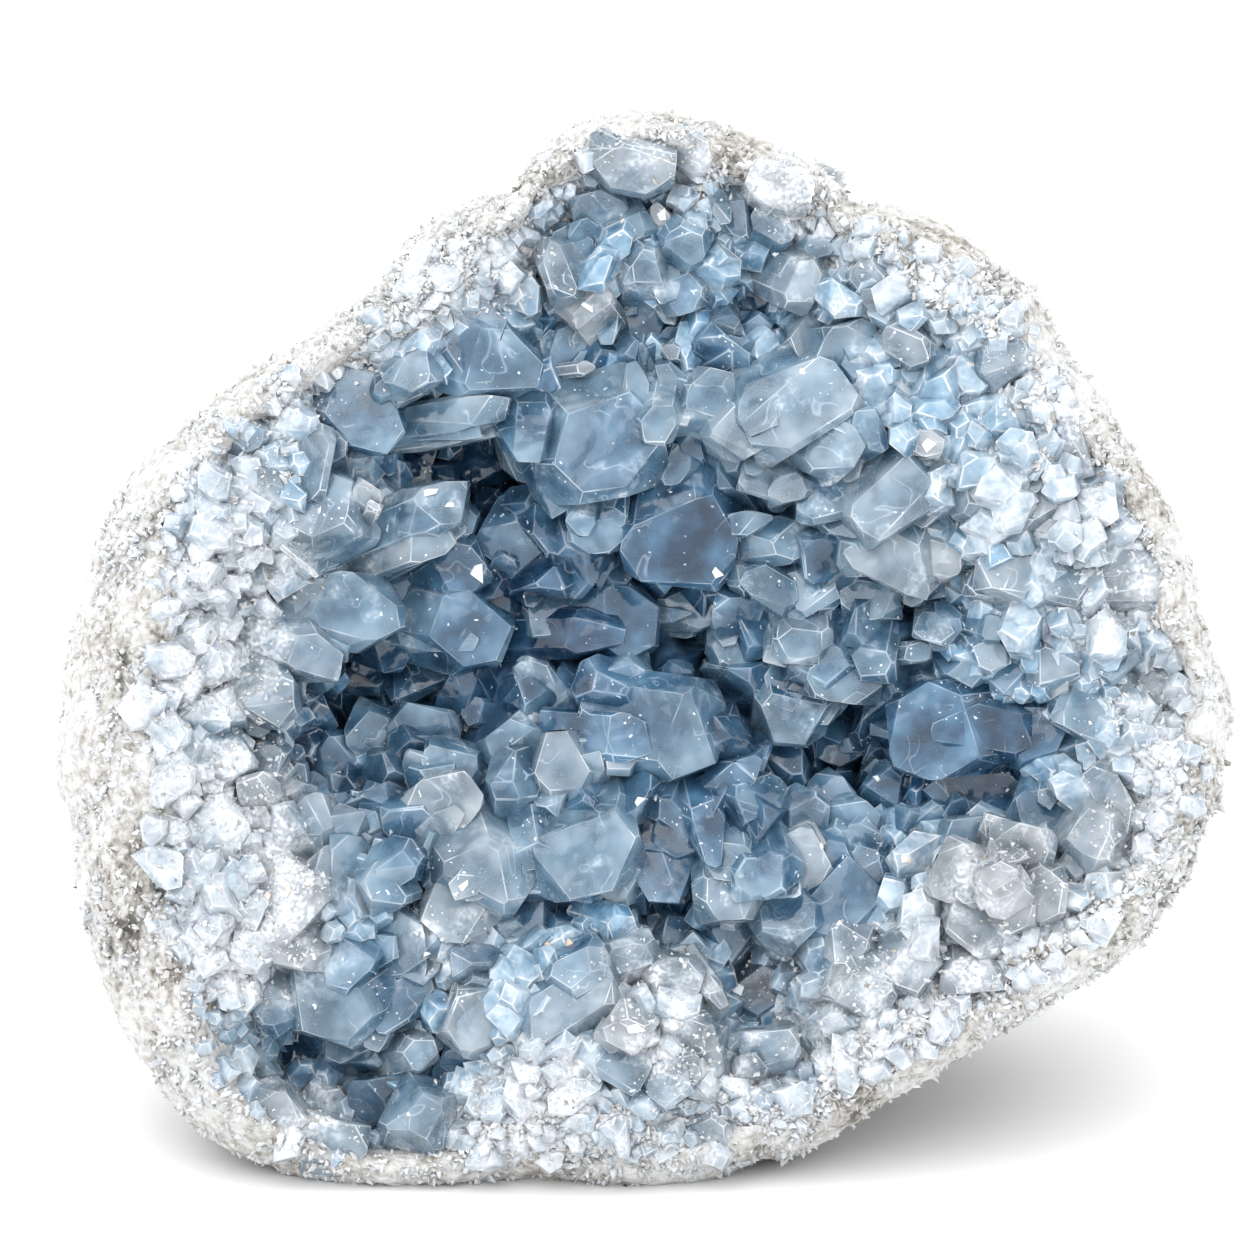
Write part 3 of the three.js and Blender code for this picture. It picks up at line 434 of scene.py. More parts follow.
points = np.array(OUTLINE, float)
order = np.argsort(np.arctan2(points[:, 1], points[:, 0]))
points = points[order] * (VIEW_DISTANCE + RIM_ROLL_OFF) / VIEW_DISTANCE
knots = np.arctan2(points[:, 1], points[:, 0])
reaches = np.hypot(points[:, 0], points[:, 1])
KNOTS = np.concatenate([[knots[-1] - TURN], knots, knots[:2] + TURN])
REACHES = np.concatenate([[reaches[-1]], reaches, reaches[:2]])


def outline_radius(angle):
    """The outline's radius in each direction, on a smooth curve through its points."""
    wanted = KNOTS[1] + np.mod(np.asarray(angle, float) - KNOTS[1], TURN)
    i = np.clip(np.searchsorted(KNOTS, wanted, side="right") - 1, 1, len(KNOTS) - 3)
    span = KNOTS[i + 1] - KNOTS[i]
    t = (wanted - KNOTS[i]) / span
    start = (REACHES[i + 1] - REACHES[i - 1]) / (KNOTS[i + 1] - KNOTS[i - 1]) * span
    end = (REACHES[i + 2] - REACHES[i]) / (KNOTS[i + 2] - KNOTS[i]) * span
    t2 = t * t
    t3 = t2 * t
    return (
        (2 * t3 - 3 * t2 + 1) * REACHES[i] + (t3 - 2 * t2 + t) * start
        + (3 * t2 - 2 * t3) * REACHES[i + 1] + (t3 - t2) * end
    )


def turned(uvw):
    """Directions in the face frame as directions in the model's frame."""
    u, v, w = np.moveaxis(np.asarray(uvw, float), -1, 0)
    sine, cosine = math.sin(FACE_LEAN), math.cos(FACE_LEAN)
    return np.stack([u, v * sine - w * cosine, v * cosine + w * sine], axis=-1)


def to_world(uvw):
    """From the face frame in millimetres to the model's frame in metres."""
    return (FACE_CENTRE + turned(uvw)) * MM


def on_circle(radius, angle):
    """The place at a distance from the middle of the face in some direction."""
    return radius * np.cos(angle), radius * np.sin(angle)


def unit(vectors):
    return vectors / np.linalg.norm(vectors, axis=-1, keepdims=True)


heroes = np.array(CRYSTALS, float)
toward = np.radians(heroes[:, 3])
outward = np.radians(heroes[:, 4])
HERO_DIRECTION = np.stack([
    np.cos(toward) * np.cos(outward), np.sin(toward) * np.cos(outward), np.sin(outward),
], axis=1)
HERO_SIDE = np.stack([-np.sin(toward), np.cos(toward), np.zeros(len(heroes))], axis=1)
HERO_FLANK = np.cross(HERO_DIRECTION, HERO_SIDE)
HERO_REACH = heroes[:, 6] / 2 * np.cos(outward) + heroes[:, 7] / 2 * np.sin(outward)
hero_depth = heroes[:, 2] - HERO_REACH
spread = (VIEW_DISTANCE - hero_depth) / VIEW_DISTANCE
HERO_MIDDLE = np.stack([heroes[:, 0] * spread, heroes[:, 1] * spread, hero_depth], axis=1)


def share_at(u, v):
    """How far a place is from the middle, as a share of the way to the outline."""
    return np.hypot(u, v) / outline_radius(np.arctan2(v, u))


def crust_edge_at(angle):
    """The share of the way out at which the crust ends; more stone is bare on the left."""
    facing = np.maximum(0, np.cos(angle - CRUST_SET_BACK_DIRECTION))
    return CRUST_EDGE - CRUST_SET_BACK * facing ** CRUST_SET_BACK_NARROWNESS


def rim_height(share):
    beyond = np.maximum(0, (share - RIM_CREST) / (1 - RIM_CREST))
    return -RIM_ROLL_OFF * beyond * beyond


def strongest(spots, u, v):
    """How strongly the nearest of some round spots is felt at each place."""
    amount = np.zeros(np.shape(u))
    for place_u, place_v, radius, strength in spots:
        distance = np.hypot(u - place_u, v - place_v)
        amount = np.maximum(amount, strength * (1 - smooth_step(radius * 0.3, radius * 1.4, distance)))
    return amount


def frosting(u, v):
    """How much white sugary crystal covers each place: some patches and all of the outer rim."""
    rim = RIM_FROST * smooth_step(0.8, 0.95, share_at(u, v))
    return np.maximum(strongest(FROSTED, u, v), rim)


def carved_ground(u, v):
    """A shallow bowl, cut lower by the roots of each large crystal and by the deep gaps."""
    share = share_at(u, v)
    bowl = RIM_GROUND + (MIDDLE_GROUND - RIM_GROUND) * np.clip(1 - share / RIM_CREST, 0, 1)
    height = bowl + rim_height(share)
    for i, entry in enumerate(heroes):
        root = entry[2] - 2 * HERO_REACH[i] * ROOT_SHARE
        distance = np.hypot(u - HERO_MIDDLE[i, 0], v - HERO_MIDDLE[i, 1])
        radius = entry[5:8].sum() / 8
        height = np.minimum(height, root + WALL_SLOPE * np.maximum(0, distance - radius))
    return height - strongest(GAPS, u, v)


ground_axis = np.arange(-GROUND_REACH, GROUND_REACH + GROUND_STEP, GROUND_STEP)
ground_u, ground_v = np.meshgrid(ground_axis, ground_axis, indexing="ij")
GROUND = carved_ground(ground_u, ground_v)
edge_place = share_at(ground_u, ground_v) - crust_edge_at(np.arctan2(ground_v, ground_u))
bare = smooth_step(-0.01, EDGE_BLEND, edge_place)
FACE = GROUND * (1 - bare) + rim_height(share_at(ground_u, ground_v)) * bare


def look_up(table, u, v):
    """A value of one of the square grids, evened out between its points."""
    a = np.clip((np.asarray(u) + GROUND_REACH) / GROUND_STEP, 0, len(ground_axis) - 1.001)
    b = np.clip((np.asarray(v) + GROUND_REACH) / GROUND_STEP, 0, len(ground_axis) - 1.001)
    i, j = a.astype(int), b.astype(int)
    a, b = a - i, b - j
    low = table[i, j] * (1 - a) + table[i + 1, j] * a
    high = table[i, j + 1] * (1 - a) + table[i + 1, j + 1] * a
    return low * (1 - b) + high * b


def face_normal(u, v):
    """Which way the face looks at each place."""
    step = 0.8
    slope_u = (look_up(FACE, u + step, v) - look_up(FACE, u - step, v)) / (2 * step)
    slope_v = (look_up(FACE, u, v + step) - look_up(FACE, u, v - step)) / (2 * step)
    return unit(np.stack([-slope_u, -slope_v, np.ones(np.shape(u))], axis=-1))


# Crystals as solids between planes

def uneven_from(draw):
    """Random amounts to either side of nothing, from a source of numbers from 0 to 1."""
    def uneven(amount):
        return (draw() - 0.5) * 2 * amount

    return uneven


def crystal_planes(draw, bury):
    """A prism with cut corners under a roof and a gable, in a unit frame, all a little uneven."""
    uneven = uneven_from(draw)

    def plane(x, y, z, distance):
        x += uneven(0.1) * abs(z)
        y += uneven(0.1) * abs(z)
        return [x, y, z, distance * (1 + uneven(0.06))]

    roof = 0.35 + draw() * 0.45
    gable = 0.35 + draw() * 0.5
    gable_start = 0.15 + draw() * 0.4
    corner = 1.02 + draw() * 0.25
    planes = [plane(side, uneven(0.12), 0, 1) for side in (1, -1)]
    planes += [plane(uneven(0.12), side, 0, 1) for side in (1, -1)]
    planes += [plane(0, side * roof, 1, 1) for side in (1, -1)]
    planes += [plane(side * gable, 0, 1, 1 + gable * gable_start) for side in (1, -1)]
    planes.append([0, 0, -1, bury])
    for x, y in ((1, 1), (-1, 1), (-1, -1), (1, -1)):
        planes.append(plane(0.72 * x, 0.7 * y, 0, corner))
    planes.append(plane(0, 0, 1, 0.96))
    return planes


@lru_cache(maxsize=None)
def trios_of(count):
    return np.array(list(combinations(range(count), 3)))


def faceted_solid(planes):
    """The corners of the solid inside a set of planes, and its faces as rings of corners."""
    planes = np.array(planes, float)
    normals = planes[:, :3]
    trios = trios_of(len(planes))
    systems = normals[trios]
    solvable = np.abs(np.linalg.det(systems)) > 1e-4
    trios = trios[solvable]
    meetings = np.linalg.solve(systems[solvable], planes[trios, 3][..., None])[..., 0]
    inside = (meetings @ normals.T <= planes[:, 3] + 1e-6).all(axis=1)
    corners, numbers = np.unique(np.round(meetings[inside], 5), axis=0, return_inverse=True)
    numbers = numbers.ravel()
    trios = trios[inside]
    faces = []
    for plane, normal in enumerate(unit(normals)):
        ring = np.unique(numbers[(trios == plane).any(axis=1)])
        if len(ring) < 3:
            faces.append([])
            continue
        arms = corners[ring] - corners[ring].mean(axis=0)
        start = unit(arms[0])
        angles = np.arctan2(arms @ np.cross(normal, start), arms @ start)
        faces.append([int(i) for i in ring[np.argsort(angles)]])
    return corners, faces


Solid = namedtuple("Solid", "points triangles tones edges rims normals")


def inset_corners(border, middle, width):
    """The corners of a facet moved in from its edges by a width."""
    ahead = unit(np.roll(border, -1, axis=0) - border)
    behind = np.roll(ahead, 1, axis=0)
    normal = unit(np.cross(behind, ahead).sum(axis=0))
    inward = np.cross(normal, ahead)
    inward_behind = np.roll(inward, 1, axis=0)
    spread = 1 + (inward * inward_behind).sum(axis=1, keepdims=True)
    moves = width * (inward + inward_behind) / np.maximum(spread, 0.2)
    room = 0.35 * np.linalg.norm(middle - border, axis=1, keepdims=True)
    length = np.linalg.norm(moves, axis=1, keepdims=True)
    return border + moves * np.minimum(1, room / length)


def corner_normals(corners, rings):
    """The normal of each facet, and for each corner the mean of the facets round it."""
    facets = []
    shared = np.zeros((len(corners), 3))
    for ring in rings:
        arms = corners[ring] - corners[ring].mean(axis=0)
        facets.append(unit(np.cross(arms, np.roll(arms, -1, axis=0)).sum(axis=0)))
        shared[ring] += facets[-1]
    return facets, shared / np.maximum(np.linalg.norm(shared, axis=1), 1e-9)[:, None]


def crystal_mesh(corners, faces, edge_width, rounding):
    """Fans from the middle of each facet, with a narrow face cut along each edge.

    Tones say how much paler each triangle is, edges which ones are narrow, and rims how near
    each point is to an edge, from 0 at a facet's middle to 1. The normals, one for each corner
    of each triangle, round the facets a little.
    """
    rings = [ring for ring in faces if len(ring) > 2]
    facets, shared = corner_normals(corners, rings)
    points = [] if edge_width else list(corners)
    rims = [1.0] * len(points)
    point_normals = list(shared[:len(points)])
    triangles = []
    tones = []
    normals = []
    place = {}
    after = {}
    owner = {}
    for number, (ring, facet) in enumerate(zip(rings, facets)):
        border = corners[ring]
        middle = border.mean(axis=0)
        soft = unit(facet + rounding * shared[ring])
        for i, corner in enumerate(ring):
            after[number, corner] = ring[(i + 1) % len(ring)]
            owner[corner, after[number, corner]] = number
            place[number, corner] = corner
        if edge_width:
            for i, moved in enumerate(inset_corners(border, middle, edge_width)):
                place[number, ring[i]] = len(points)
                points.append(moved)
                point_normals.append(soft[i])
                rims.append(1.0)
        tone = rng.normal(0, FACET_TONE)
        for i, corner in enumerate(ring):
            triangles.append((place[number, corner], place[number, after[number, corner]], len(points)))
            normals.append((soft[i], soft[(i + 1) % len(ring)], facet))
            tones.append(tone)
        points.append(middle)
        point_normals.append(facet)
        rims.append(0.0)
    broad = len(triangles)
    if edge_width:
        narrow = edge_faces(place, after, owner)
        triangles += narrow
        normals += [tuple(point_normals[i] for i in trio) for trio in narrow]
        tones += [0.0] * len(narrow)
    edges = np.arange(len(triangles)) >= broad
    return Solid(*(np.array(part) for part in (points, triangles, tones, edges, rims, normals)))


def edge_faces(place, after, owner):
    """The narrow faces along a solid's edges and the small ones at its corners."""
    triangles = []
    for (start, end), left in owner.items():
        right = owner.get((end, start))
        if start < end and right is not None:
            ring = [place[right, start], place[right, end], place[left, end], place[left, start]]
            triangles += [(ring[0], ring[1], ring[2]), (ring[0], ring[2], ring[3])]
    for corner in {corner for _, corner in after}:
        around = [number for number, other in after if other == corner][:1]
        while len(around) < 12:
            following = owner.get((after[around[-1], corner], corner))
            if following is None or following == around[0]:
                break
            around.append(following)
        ring = [place[number, corner] for number in reversed(around)]
        triangles += [(ring[0], ring[i], ring[i + 1]) for i in range(1, len(ring) - 1)]
    return triangles


def small_planes(draw):
    """A small crystal in a unit frame: a many-sided prism with a blunt, many-sided tip."""
    uneven = uneven_from(draw)
    sides = 5 + int(draw() * 2)
    start = draw()
    planes = [[0, 0, -1, 0.5], [uneven(0.25), uneven(0.25), 1, 0.95]]
    for i in range(sides):
        angle = (i + start + uneven(0.2)) / sides * TURN
        planes.append([math.cos(angle), math.sin(angle), uneven(0.1), 0.92 + uneven(0.12)])
    for i in range(4):
        angle = (i + start + 0.5 + uneven(0.3)) / 4 * TURN
        slope = 0.5 + draw() * 0.5
        planes.append([slope * math.cos(angle), slope * math.sin(angle), 1, 1.15 + draw() * 0.25])
    return planes


def chip_planes(draw):
    """A grain in a unit frame: a skewed block."""
    uneven = uneven_from(draw)
    planes = [[side, uneven(0.45), uneven(0.3), 1] for side in (1, -1)]
    planes += [[uneven(0.45), side, uneven(0.3), 1] for side in (1, -1)]
    return planes + [
        [uneven(0.5), uneven(0.5), 1, 0.9],
        [uneven(0.3), uneven(0.3), -1, 0.5],
    ]


def plain_mesh(corners, faces):
    """The solid with as few triangles as it takes."""
    rings = [ring for ring in faces if len(ring) > 2]
    facets, shared = corner_normals(corners, rings)
    triangles = []
    tones = []
    normals = []
    for ring, facet in zip(rings, facets):
        tone = rng.normal(0, FACET_TONE)
        soft = unit(facet + SMALL_ROUNDING * shared[ring])
        for i in range(1, len(ring) - 1):
            triangles.append((ring[0], ring[i], ring[i + 1]))
            normals.append((soft[0], soft[i], soft[i + 1]))
            tones.append(tone)
    whole = np.zeros(len(tones)), np.ones(len(corners))
    return Solid(corners, np.array(triangles), np.array(tones), *whole, np.array(normals))


def templates(planes, seed, mesh):
    """Ready-made crystals in a unit frame."""
    return [mesh(*faceted_solid(planes(random_from(seed + i)))) for i in range(TEMPLATES)]


def with_cut_corners(planes, draw):
    """The planes with a few more that cut off corners towards the tip."""
    corners, _ = faceted_solid(planes)
    cuts = []
    for _ in range(CUT_CORNERS):
        way = unit(np.array([draw() * 2 - 1, draw() * 2 - 1, draw() * 1.3 - 0.2]))
        cuts.append([*way, (corners @ way).max() * (0.84 + 0.12 * draw())])
    return planes + cuts


def crystal(direction, side, flank, foot, sizes, bury, seed):
    """One large crystal in the face frame, with its root carried back by bury millimetres."""
    draw = random_from(seed)
    corners, faces = faceted_solid(with_cut_corners(crystal_planes(draw, bury / sizes[2]), draw))
    placed = foot + (
        corners[:, :1] * side * sizes[0] / 2
        + corners[:, 1:2] * flank * sizes[1] / 2
        + corners[:, 2:] * direction * sizes[2]
    )
    solid = crystal_mesh(placed, faces, EDGE_WIDTH, ROUNDING)
    return solid, (solid.points - foot) @ direction / sizes[2]


def tipped(directions, amount):
    """Directions tipped by random amounts."""
    return unit(directions + rng.normal(0, amount, np.shape(directions)))


def root_depth(foot, direction):
    """How far back a crystal has to be carried until its root is inside the ground."""
    bury = np.arange(ROOT_BURY, LONGEST_ROOT)
    roots = foot - direction * bury[:, None]
    sunk = roots[:, 2] < look_up(GROUND, roots[:, 0], roots[:, 1]) - ROOT_BURY
    sunk |= share_at(roots[:, 0], roots[:, 1]) > RIM_CREST
    return bury[sunk.argmax()] if sunk.any() else LONGEST_ROOT


class Gathered:
    """Many closed shapes gathered into one mesh."""

    def __init__(self):
        self.parts = []
        self.tips = []
        self.count = 0

    def add(self, solid, tips):
        self.parts.append(solid._replace(triangles=solid.triangles + self.count))
        self.tips.append(tips)
        self.count += len(solid.points)

    def plant(self, ready, feet, directions, sizes, shades):
        """Sets ready-made crystals on their feet, each turned at random."""
        sides = unit(np.cross(directions, rng.normal(0, 1, directions.shape)))
        axes = np.stack([sides, np.cross(directions, sides), directions], axis=1)
        kinds = rng.integers(len(ready), size=len(feet))
        for kind, made in enumerate(ready):
            chosen = np.flatnonzero(kinds == kind)
            stretch = (sizes[chosen] * (0.5, 0.5, 1))[:, None]
            placed = feet[chosen, None] + (made.points[None] * stretch) @ axes[chosen]
            starts = np.arange(len(chosen)) * len(made.points)
            solid = Solid(
                placed.reshape(-1, 3),
                (made.triangles[None] + starts[:, None, None]).reshape(-1, 3),
                (shades[chosen, None] + made.tones[None]).ravel(),
                np.tile(made.edges, len(chosen)),
                np.tile(made.rims, len(chosen)),
                ((made.normals[None] / stretch[:, None]) @ axes[chosen][:, None]).reshape(-1, 3, 3),
            )
            self.add(solid, np.tile(made.points[:, 2], len(chosen)))

    def whole(self):
        return Solid(*(np.concatenate(column) for column in zip(*self.parts)))

    def piece(self, name, material, node, slot):
        whole = self.whole()
        middles = whole.points[whole.triangles].mean(axis=1)
        # Only the frost here; the crystal material adds the painted edge highlight to it.
        frost_and_edge_highlight = frosting(middles[:, 0], middles[:, 1])
        shades = np.clip(whole.tones + FROST_TONE * frost_and_edge_highlight, 0, 1)
        return mesh_object(
            name, whole.points, whole.triangles,
            {"shade": shades, "edge": whole.edges, "frost_and_edge_highlight": frost_and_edge_highlight},
            {"rim": whole.rims, "tip": np.clip(np.concatenate(self.tips), 0, 1)},
            material, node, slot, whole.normals,
        )


def rest_flat(world_points):
    """What would lie below the floor is cut off flat."""
    world_points[:, 2] = np.maximum(world_points[:, 2], 0)
    return world_points


def mesh_object(
    name, points, triangles, face_values, point_values, material, node, slot, normals=None,
):
    """A piece of the specimen that stands for a node, from points in the face frame."""
    mesh = bpy.data.meshes.new(name)
    mesh.from_pydata(rest_flat(to_world(points)).tolist(), [], triangles.tolist())
    for values, domain in ((face_values, "FACE"), (point_values, "POINT")):
        for key, numbers in values.items():
            attribute = mesh.attributes.new(key, "FLOAT", domain)
            attribute.data.foreach_set("value", np.asarray(numbers, np.float32))
    mesh.materials.append(material)
    mesh.update()
    if normals is not None:
        mesh.normals_split_custom_set(unit(turned(normals)).reshape(-1, 3).tolist())
    piece = bpy.data.objects.new(name, mesh)
    bpy.context.scene.collection.objects.link(piece)
    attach(piece, "root")
    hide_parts(node)
    print(name, len(triangles), "triangles")
    return piece


# Materials

class Nodes:
    """Short ways to add and link the nodes of one material."""

    def __init__(self, name):
        self.material = bpy.data.materials.new(name)
        self.material.use_nodes = True
        self.tree = self.material.node_tree
        self.shader = self.tree.nodes["Principled BSDF"]
        self.place = self.tree.nodes.new("ShaderNodeTexCoord").outputs["Object"]

    def add(self, kind, inputs=None, **settings):
        node = self.tree.nodes.new(kind)
        for key, value in settings.items():
            setattr(node, key, value)
        for key, value in (inputs or {}).items():
            self.feed(node.inputs[key], value)
        return node

    def feed(self, socket, value):
        if isinstance(value, bpy.types.NodeSocket):
            self.tree.links.new(value, socket)
        else:
            socket.default_value = value

    def shade_with(self, **inputs):
        """Sets inputs of the shader; an underscore stands for a space."""
        for key, value in inputs.items():
            self.feed(self.shader.inputs[key.replace("_", " ")], value)

    def noise(self, scale, detail=2, distortion=0.0, seed=0.0):
        place = self.add("ShaderNodeVectorMath", {0: self.place, 1: (seed, seed, seed)}, operation="ADD")
        inputs = {"Vector": place.outputs[0], "Scale": scale, "Detail": detail, "Distortion": distortion}
        return self.add("ShaderNodeTexNoise", inputs).outputs["Fac"]

    def healed_cracks(self, scale, seed, strength):
        """Thin pale curves that come and go, where a noise crosses its middle value."""
        level = self.noise(scale, detail=2, distortion=0.6, seed=seed)
        away = self.math("ABSOLUTE", self.math("SUBTRACT", level, 0.5), 0.0)
        line = self.span(away, 0.0, 0.012, strength, 0.0)
        shown = self.span(self.noise(scale * 1.7, detail=0, seed=seed + 20), 0.5, 0.6)
        return self.math("MULTIPLY", line, shown)

    def attribute(self, name):
        return self.add("ShaderNodeAttribute", attribute_name=name).outputs["Fac"]

    def math(self, operation, a, b, clamp=False):
        node = self.add("ShaderNodeMath", {0: a, 1: b}, operation=operation, use_clamp=clamp)
        return node.outputs[0]

    def span(self, value, from_low, from_high, to_low=0.0, to_high=1.0):
        inputs = {0: value, 1: from_low, 2: from_high, 3: to_low, 4: to_high}
        return self.add("ShaderNodeMapRange", inputs, clamp=True).outputs[0]

    def ramp(self, value, stops):
        node = self.add("ShaderNodeValToRGB", {"Fac": value})
        elements = node.color_ramp.elements
        while len(elements) < len(stops):
            elements.new(0.5)
        for element, (position, colour) in zip(elements, stops):
            element.position = position
            element.color = (*colour, 1)
        return node.outputs["Color"]

    def mix(self, factor, a, b):
        node = self.add("ShaderNodeMix", data_type="RGBA")
        self.feed(node.inputs[0], factor)
        for socket, value in zip((node.inputs[6], node.inputs[7]), (a, b)):
            self.feed(socket, (*value, 1) if isinstance(value, tuple) else value)
        return node.outputs[2]

    def bump(self, height, strength, distance):
        inputs = {"Height": height, "Strength": strength, "Distance": distance}
        return self.add("ShaderNodeBump", inputs).outputs["Normal"]


CRYSTAL_COLOURS = [
    (0.0, (0.03, 0.10, 0.21)),
    (0.25, (0.14, 0.32, 0.53)),
    (0.5, (0.32, 0.52, 0.70)),
    (0.75, (0.50, 0.63, 0.75)),
    (1.0, (0.68, 0.745, 0.82)),
]
# Pale colour for the white frost and for the painted highlight on the crystals' edges
FROST_AND_EDGE_HIGHLIGHT = (0.88, 0.90, 0.93)
SUGAR = (0.69, 0.735, 0.79)


def crystal_material(name, transmission, scale, edge_highlight):
    """Translucent celestite: pale edges that are a painted highlight, milky veils, healed cracks and
    tiny white specks.
    """
    nodes = Nodes(name)
    rim = nodes.attribute("rim")
    tip = nodes.span(nodes.attribute("tip"), 0, 1, -0.1, 0.06)
    shade = nodes.math("ADD", nodes.attribute("shade"), tip)
    shade = nodes.math("ADD", shade, nodes.span(rim, 0.2, 1.0, -0.04, 0.06))
    veil = nodes.noise(150 * scale, detail=2)
    shade = nodes.math("ADD", shade, nodes.span(veil, 0.35, 0.75, -0.1, 0.16), clamp=True)
    whiteness = nodes.span(nodes.attribute("frost_and_edge_highlight"), 0, 1, 0.0, 0.6)
    tint = nodes.mix(whiteness, nodes.ramp(shade, CRYSTAL_COLOURS), SUGAR)
    patchy = nodes.span(nodes.noise(190 * scale, detail=1, seed=5), 0.42, 0.62, 0.15, 1.0)
    # Pale lines on the narrow edge faces, and pale facet borders on the small crystals, are a painted
    # highlight that is weaker on darker crystals.
    edge = nodes.math("MULTIPLY", nodes.attribute("edge"), nodes.span(shade, 0.1, 0.8, 0.25, 0.6))
    soft = nodes.span(rim, 0.84, 0.98, 0.0, edge_highlight)
    border = nodes.math("MULTIPLY", nodes.math("MAXIMUM", edge, soft), patchy)
    # The white cracks, specks and sugary crust are real; the edge lines joined into this mask are a
    # painted highlight.
    frost_and_edge_highlight = nodes.math("MAXIMUM", border, nodes.healed_cracks(110 * scale, 9, 0.3))
    grains = nodes.noise(1500, detail=0, seed=11)
    dots = nodes.span(grains, 0.77, 0.8, 0.0, 0.8)
    dots = nodes.math("MULTIPLY", dots, nodes.span(patchy, 0.5, 0.8))
    frost_and_edge_highlight = nodes.math("MAXIMUM", frost_and_edge_highlight, dots)
    raised = nodes.span(nodes.attribute("frost_and_edge_highlight"), 0, 1, 0.0, 0.22)
    level = nodes.math("ADD", nodes.noise(150, detail=3, seed=7), raised)
    crust = nodes.math("MULTIPLY", nodes.span(level, 0.58, 0.8), nodes.span(shade, 0.15, 0.5))
    sugary = nodes.math("MULTIPLY", crust, nodes.span(grains, 0.4, 0.6, 0.4, 0.95))
    frost_and_edge_highlight = nodes.math("MAXIMUM", frost_and_edge_highlight, sugary)
    clear = nodes.span(veil, 0.38, 0.72, transmission + 0.1, transmission - 0.2)
    relief = nodes.noise(300 * scale, detail=1, seed=2)
    nodes.shade_with(
        Base_Color=nodes.mix(frost_and_edge_highlight, tint, FROST_AND_EDGE_HIGHLIGHT),
        Transmission_Weight=nodes.math("MULTIPLY", clear, nodes.math("SUBTRACT", 1.0, frost_and_edge_highlight)),
        Roughness=nodes.span(crust, 0.0, 1.0, 0.08, 0.4),
        IOR=1.62,
        Normal=nodes.bump(relief, 0.5, 0.0012),
    )
    return nodes.material


def bed_material():
    """The massive crystal ground between and under the crystals."""
    nodes = Nodes("celestite_ground")
    cloud = nodes.span(nodes.noise(300, detail=2), 0.3, 0.7, -0.15, 0.15)
    shade = nodes.math("ADD", nodes.attribute("shade"), cloud, clamp=True)
    relief = nodes.noise(500, detail=1)
    nodes.shade_with(
        Base_Color=nodes.ramp(shade, [
            (0.0, (0.02, 0.06, 0.12)),
            (0.4, (0.17, 0.29, 0.43)),
            (0.75, (0.56, 0.65, 0.74)),
            (1.0, (0.80, 0.83, 0.86)),
        ]),
        Roughness=0.4,
        IOR=1.62,
        Normal=nodes.bump(relief, 0.5, 0.0005),
    )
    return nodes.material


GRAIN_COLOURS = [
    (0.0, (0.127, 0.124, 0.117)),
    (0.15, (0.282, 0.263, 0.235)),
    (0.3, (0.434, 0.416, 0.384)),
    (0.5, (0.573, 0.569, 0.560)),
    (0.75, (0.670, 0.675, 0.679)),
    (1.0, (0.619, 0.652, 0.686)),
]


def grain_material():
    """Sugary white grains, some grey, beige or faintly blue."""
    nodes = Nodes("stone_grain")
    cloud = nodes.span(nodes.noise(700, detail=2), 0.3, 0.7, -0.06, 0.06)
    shade = nodes.math("ADD", nodes.attribute("shade"), cloud, clamp=True)
    nodes.shade_with(
        Base_Color=nodes.ramp(shade, GRAIN_COLOURS),
        Roughness=0.22,
        IOR=1.6,
    )
    return nodes.material


def spark_material():
    """Small bright facets, their pale colour a painted highlight, some stained peach."""
    nodes = Nodes("celestite_bright")
    cloud = nodes.span(nodes.noise(900, detail=2), 0.35, 0.65, -0.2, 0.2)
    warmth = nodes.math("ADD", nodes.attribute("shade"), cloud, clamp=True)
    nodes.shade_with(
        Base_Color=nodes.ramp(warmth, [
            (0.0, (0.78, 0.83, 0.88)),
            (0.6, (0.76, 0.71, 0.66)),
            (1.0, (0.66, 0.51, 0.41)),
        ]),
        Roughness=0.15,
        IOR=1.62,
    )
    return nodes.material


def stone_material():
    """The pale stone: white and grey, with dirt in its pits and dark specks."""
    nodes = Nodes("stone_rind")
    broad = nodes.span(nodes.noise(70, detail=2), 0.35, 0.7, -0.2, 0.12)
    fine = nodes.span(nodes.noise(900, detail=2, seed=5), 0.3, 0.7, -0.25, 0.2)
    pits = nodes.span(nodes.noise(500, detail=0, seed=12), 0.35, 0.65, 0.1, -0.15)
    shade = nodes.math("ADD", nodes.attribute("shade"), broad)
    shade = nodes.math("ADD", shade, fine)
    shade = nodes.math("ADD", shade, pits, clamp=True)
    relief = nodes.noise(1200, detail=3, seed=2)
    nodes.shade_with(
        Base_Color=nodes.ramp(shade, GRAIN_COLOURS),
        Roughness=0.75,
        Normal=nodes.bump(relief, 0.8, 0.0008),
    )
    return nodes.material


# The stone

def cyclic_normals(grid):
    """Outward normals of a grid of rings and rays in the face frame."""
    along = np.gradient(grid, axis=0)
    around = (np.roll(grid, -1, axis=1) - np.roll(grid, 1, axis=1)) / 2
    normals = np.cross(along, around)
    return normals / np.maximum(np.linalg.norm(normals, axis=2, keepdims=True), 1e-9)


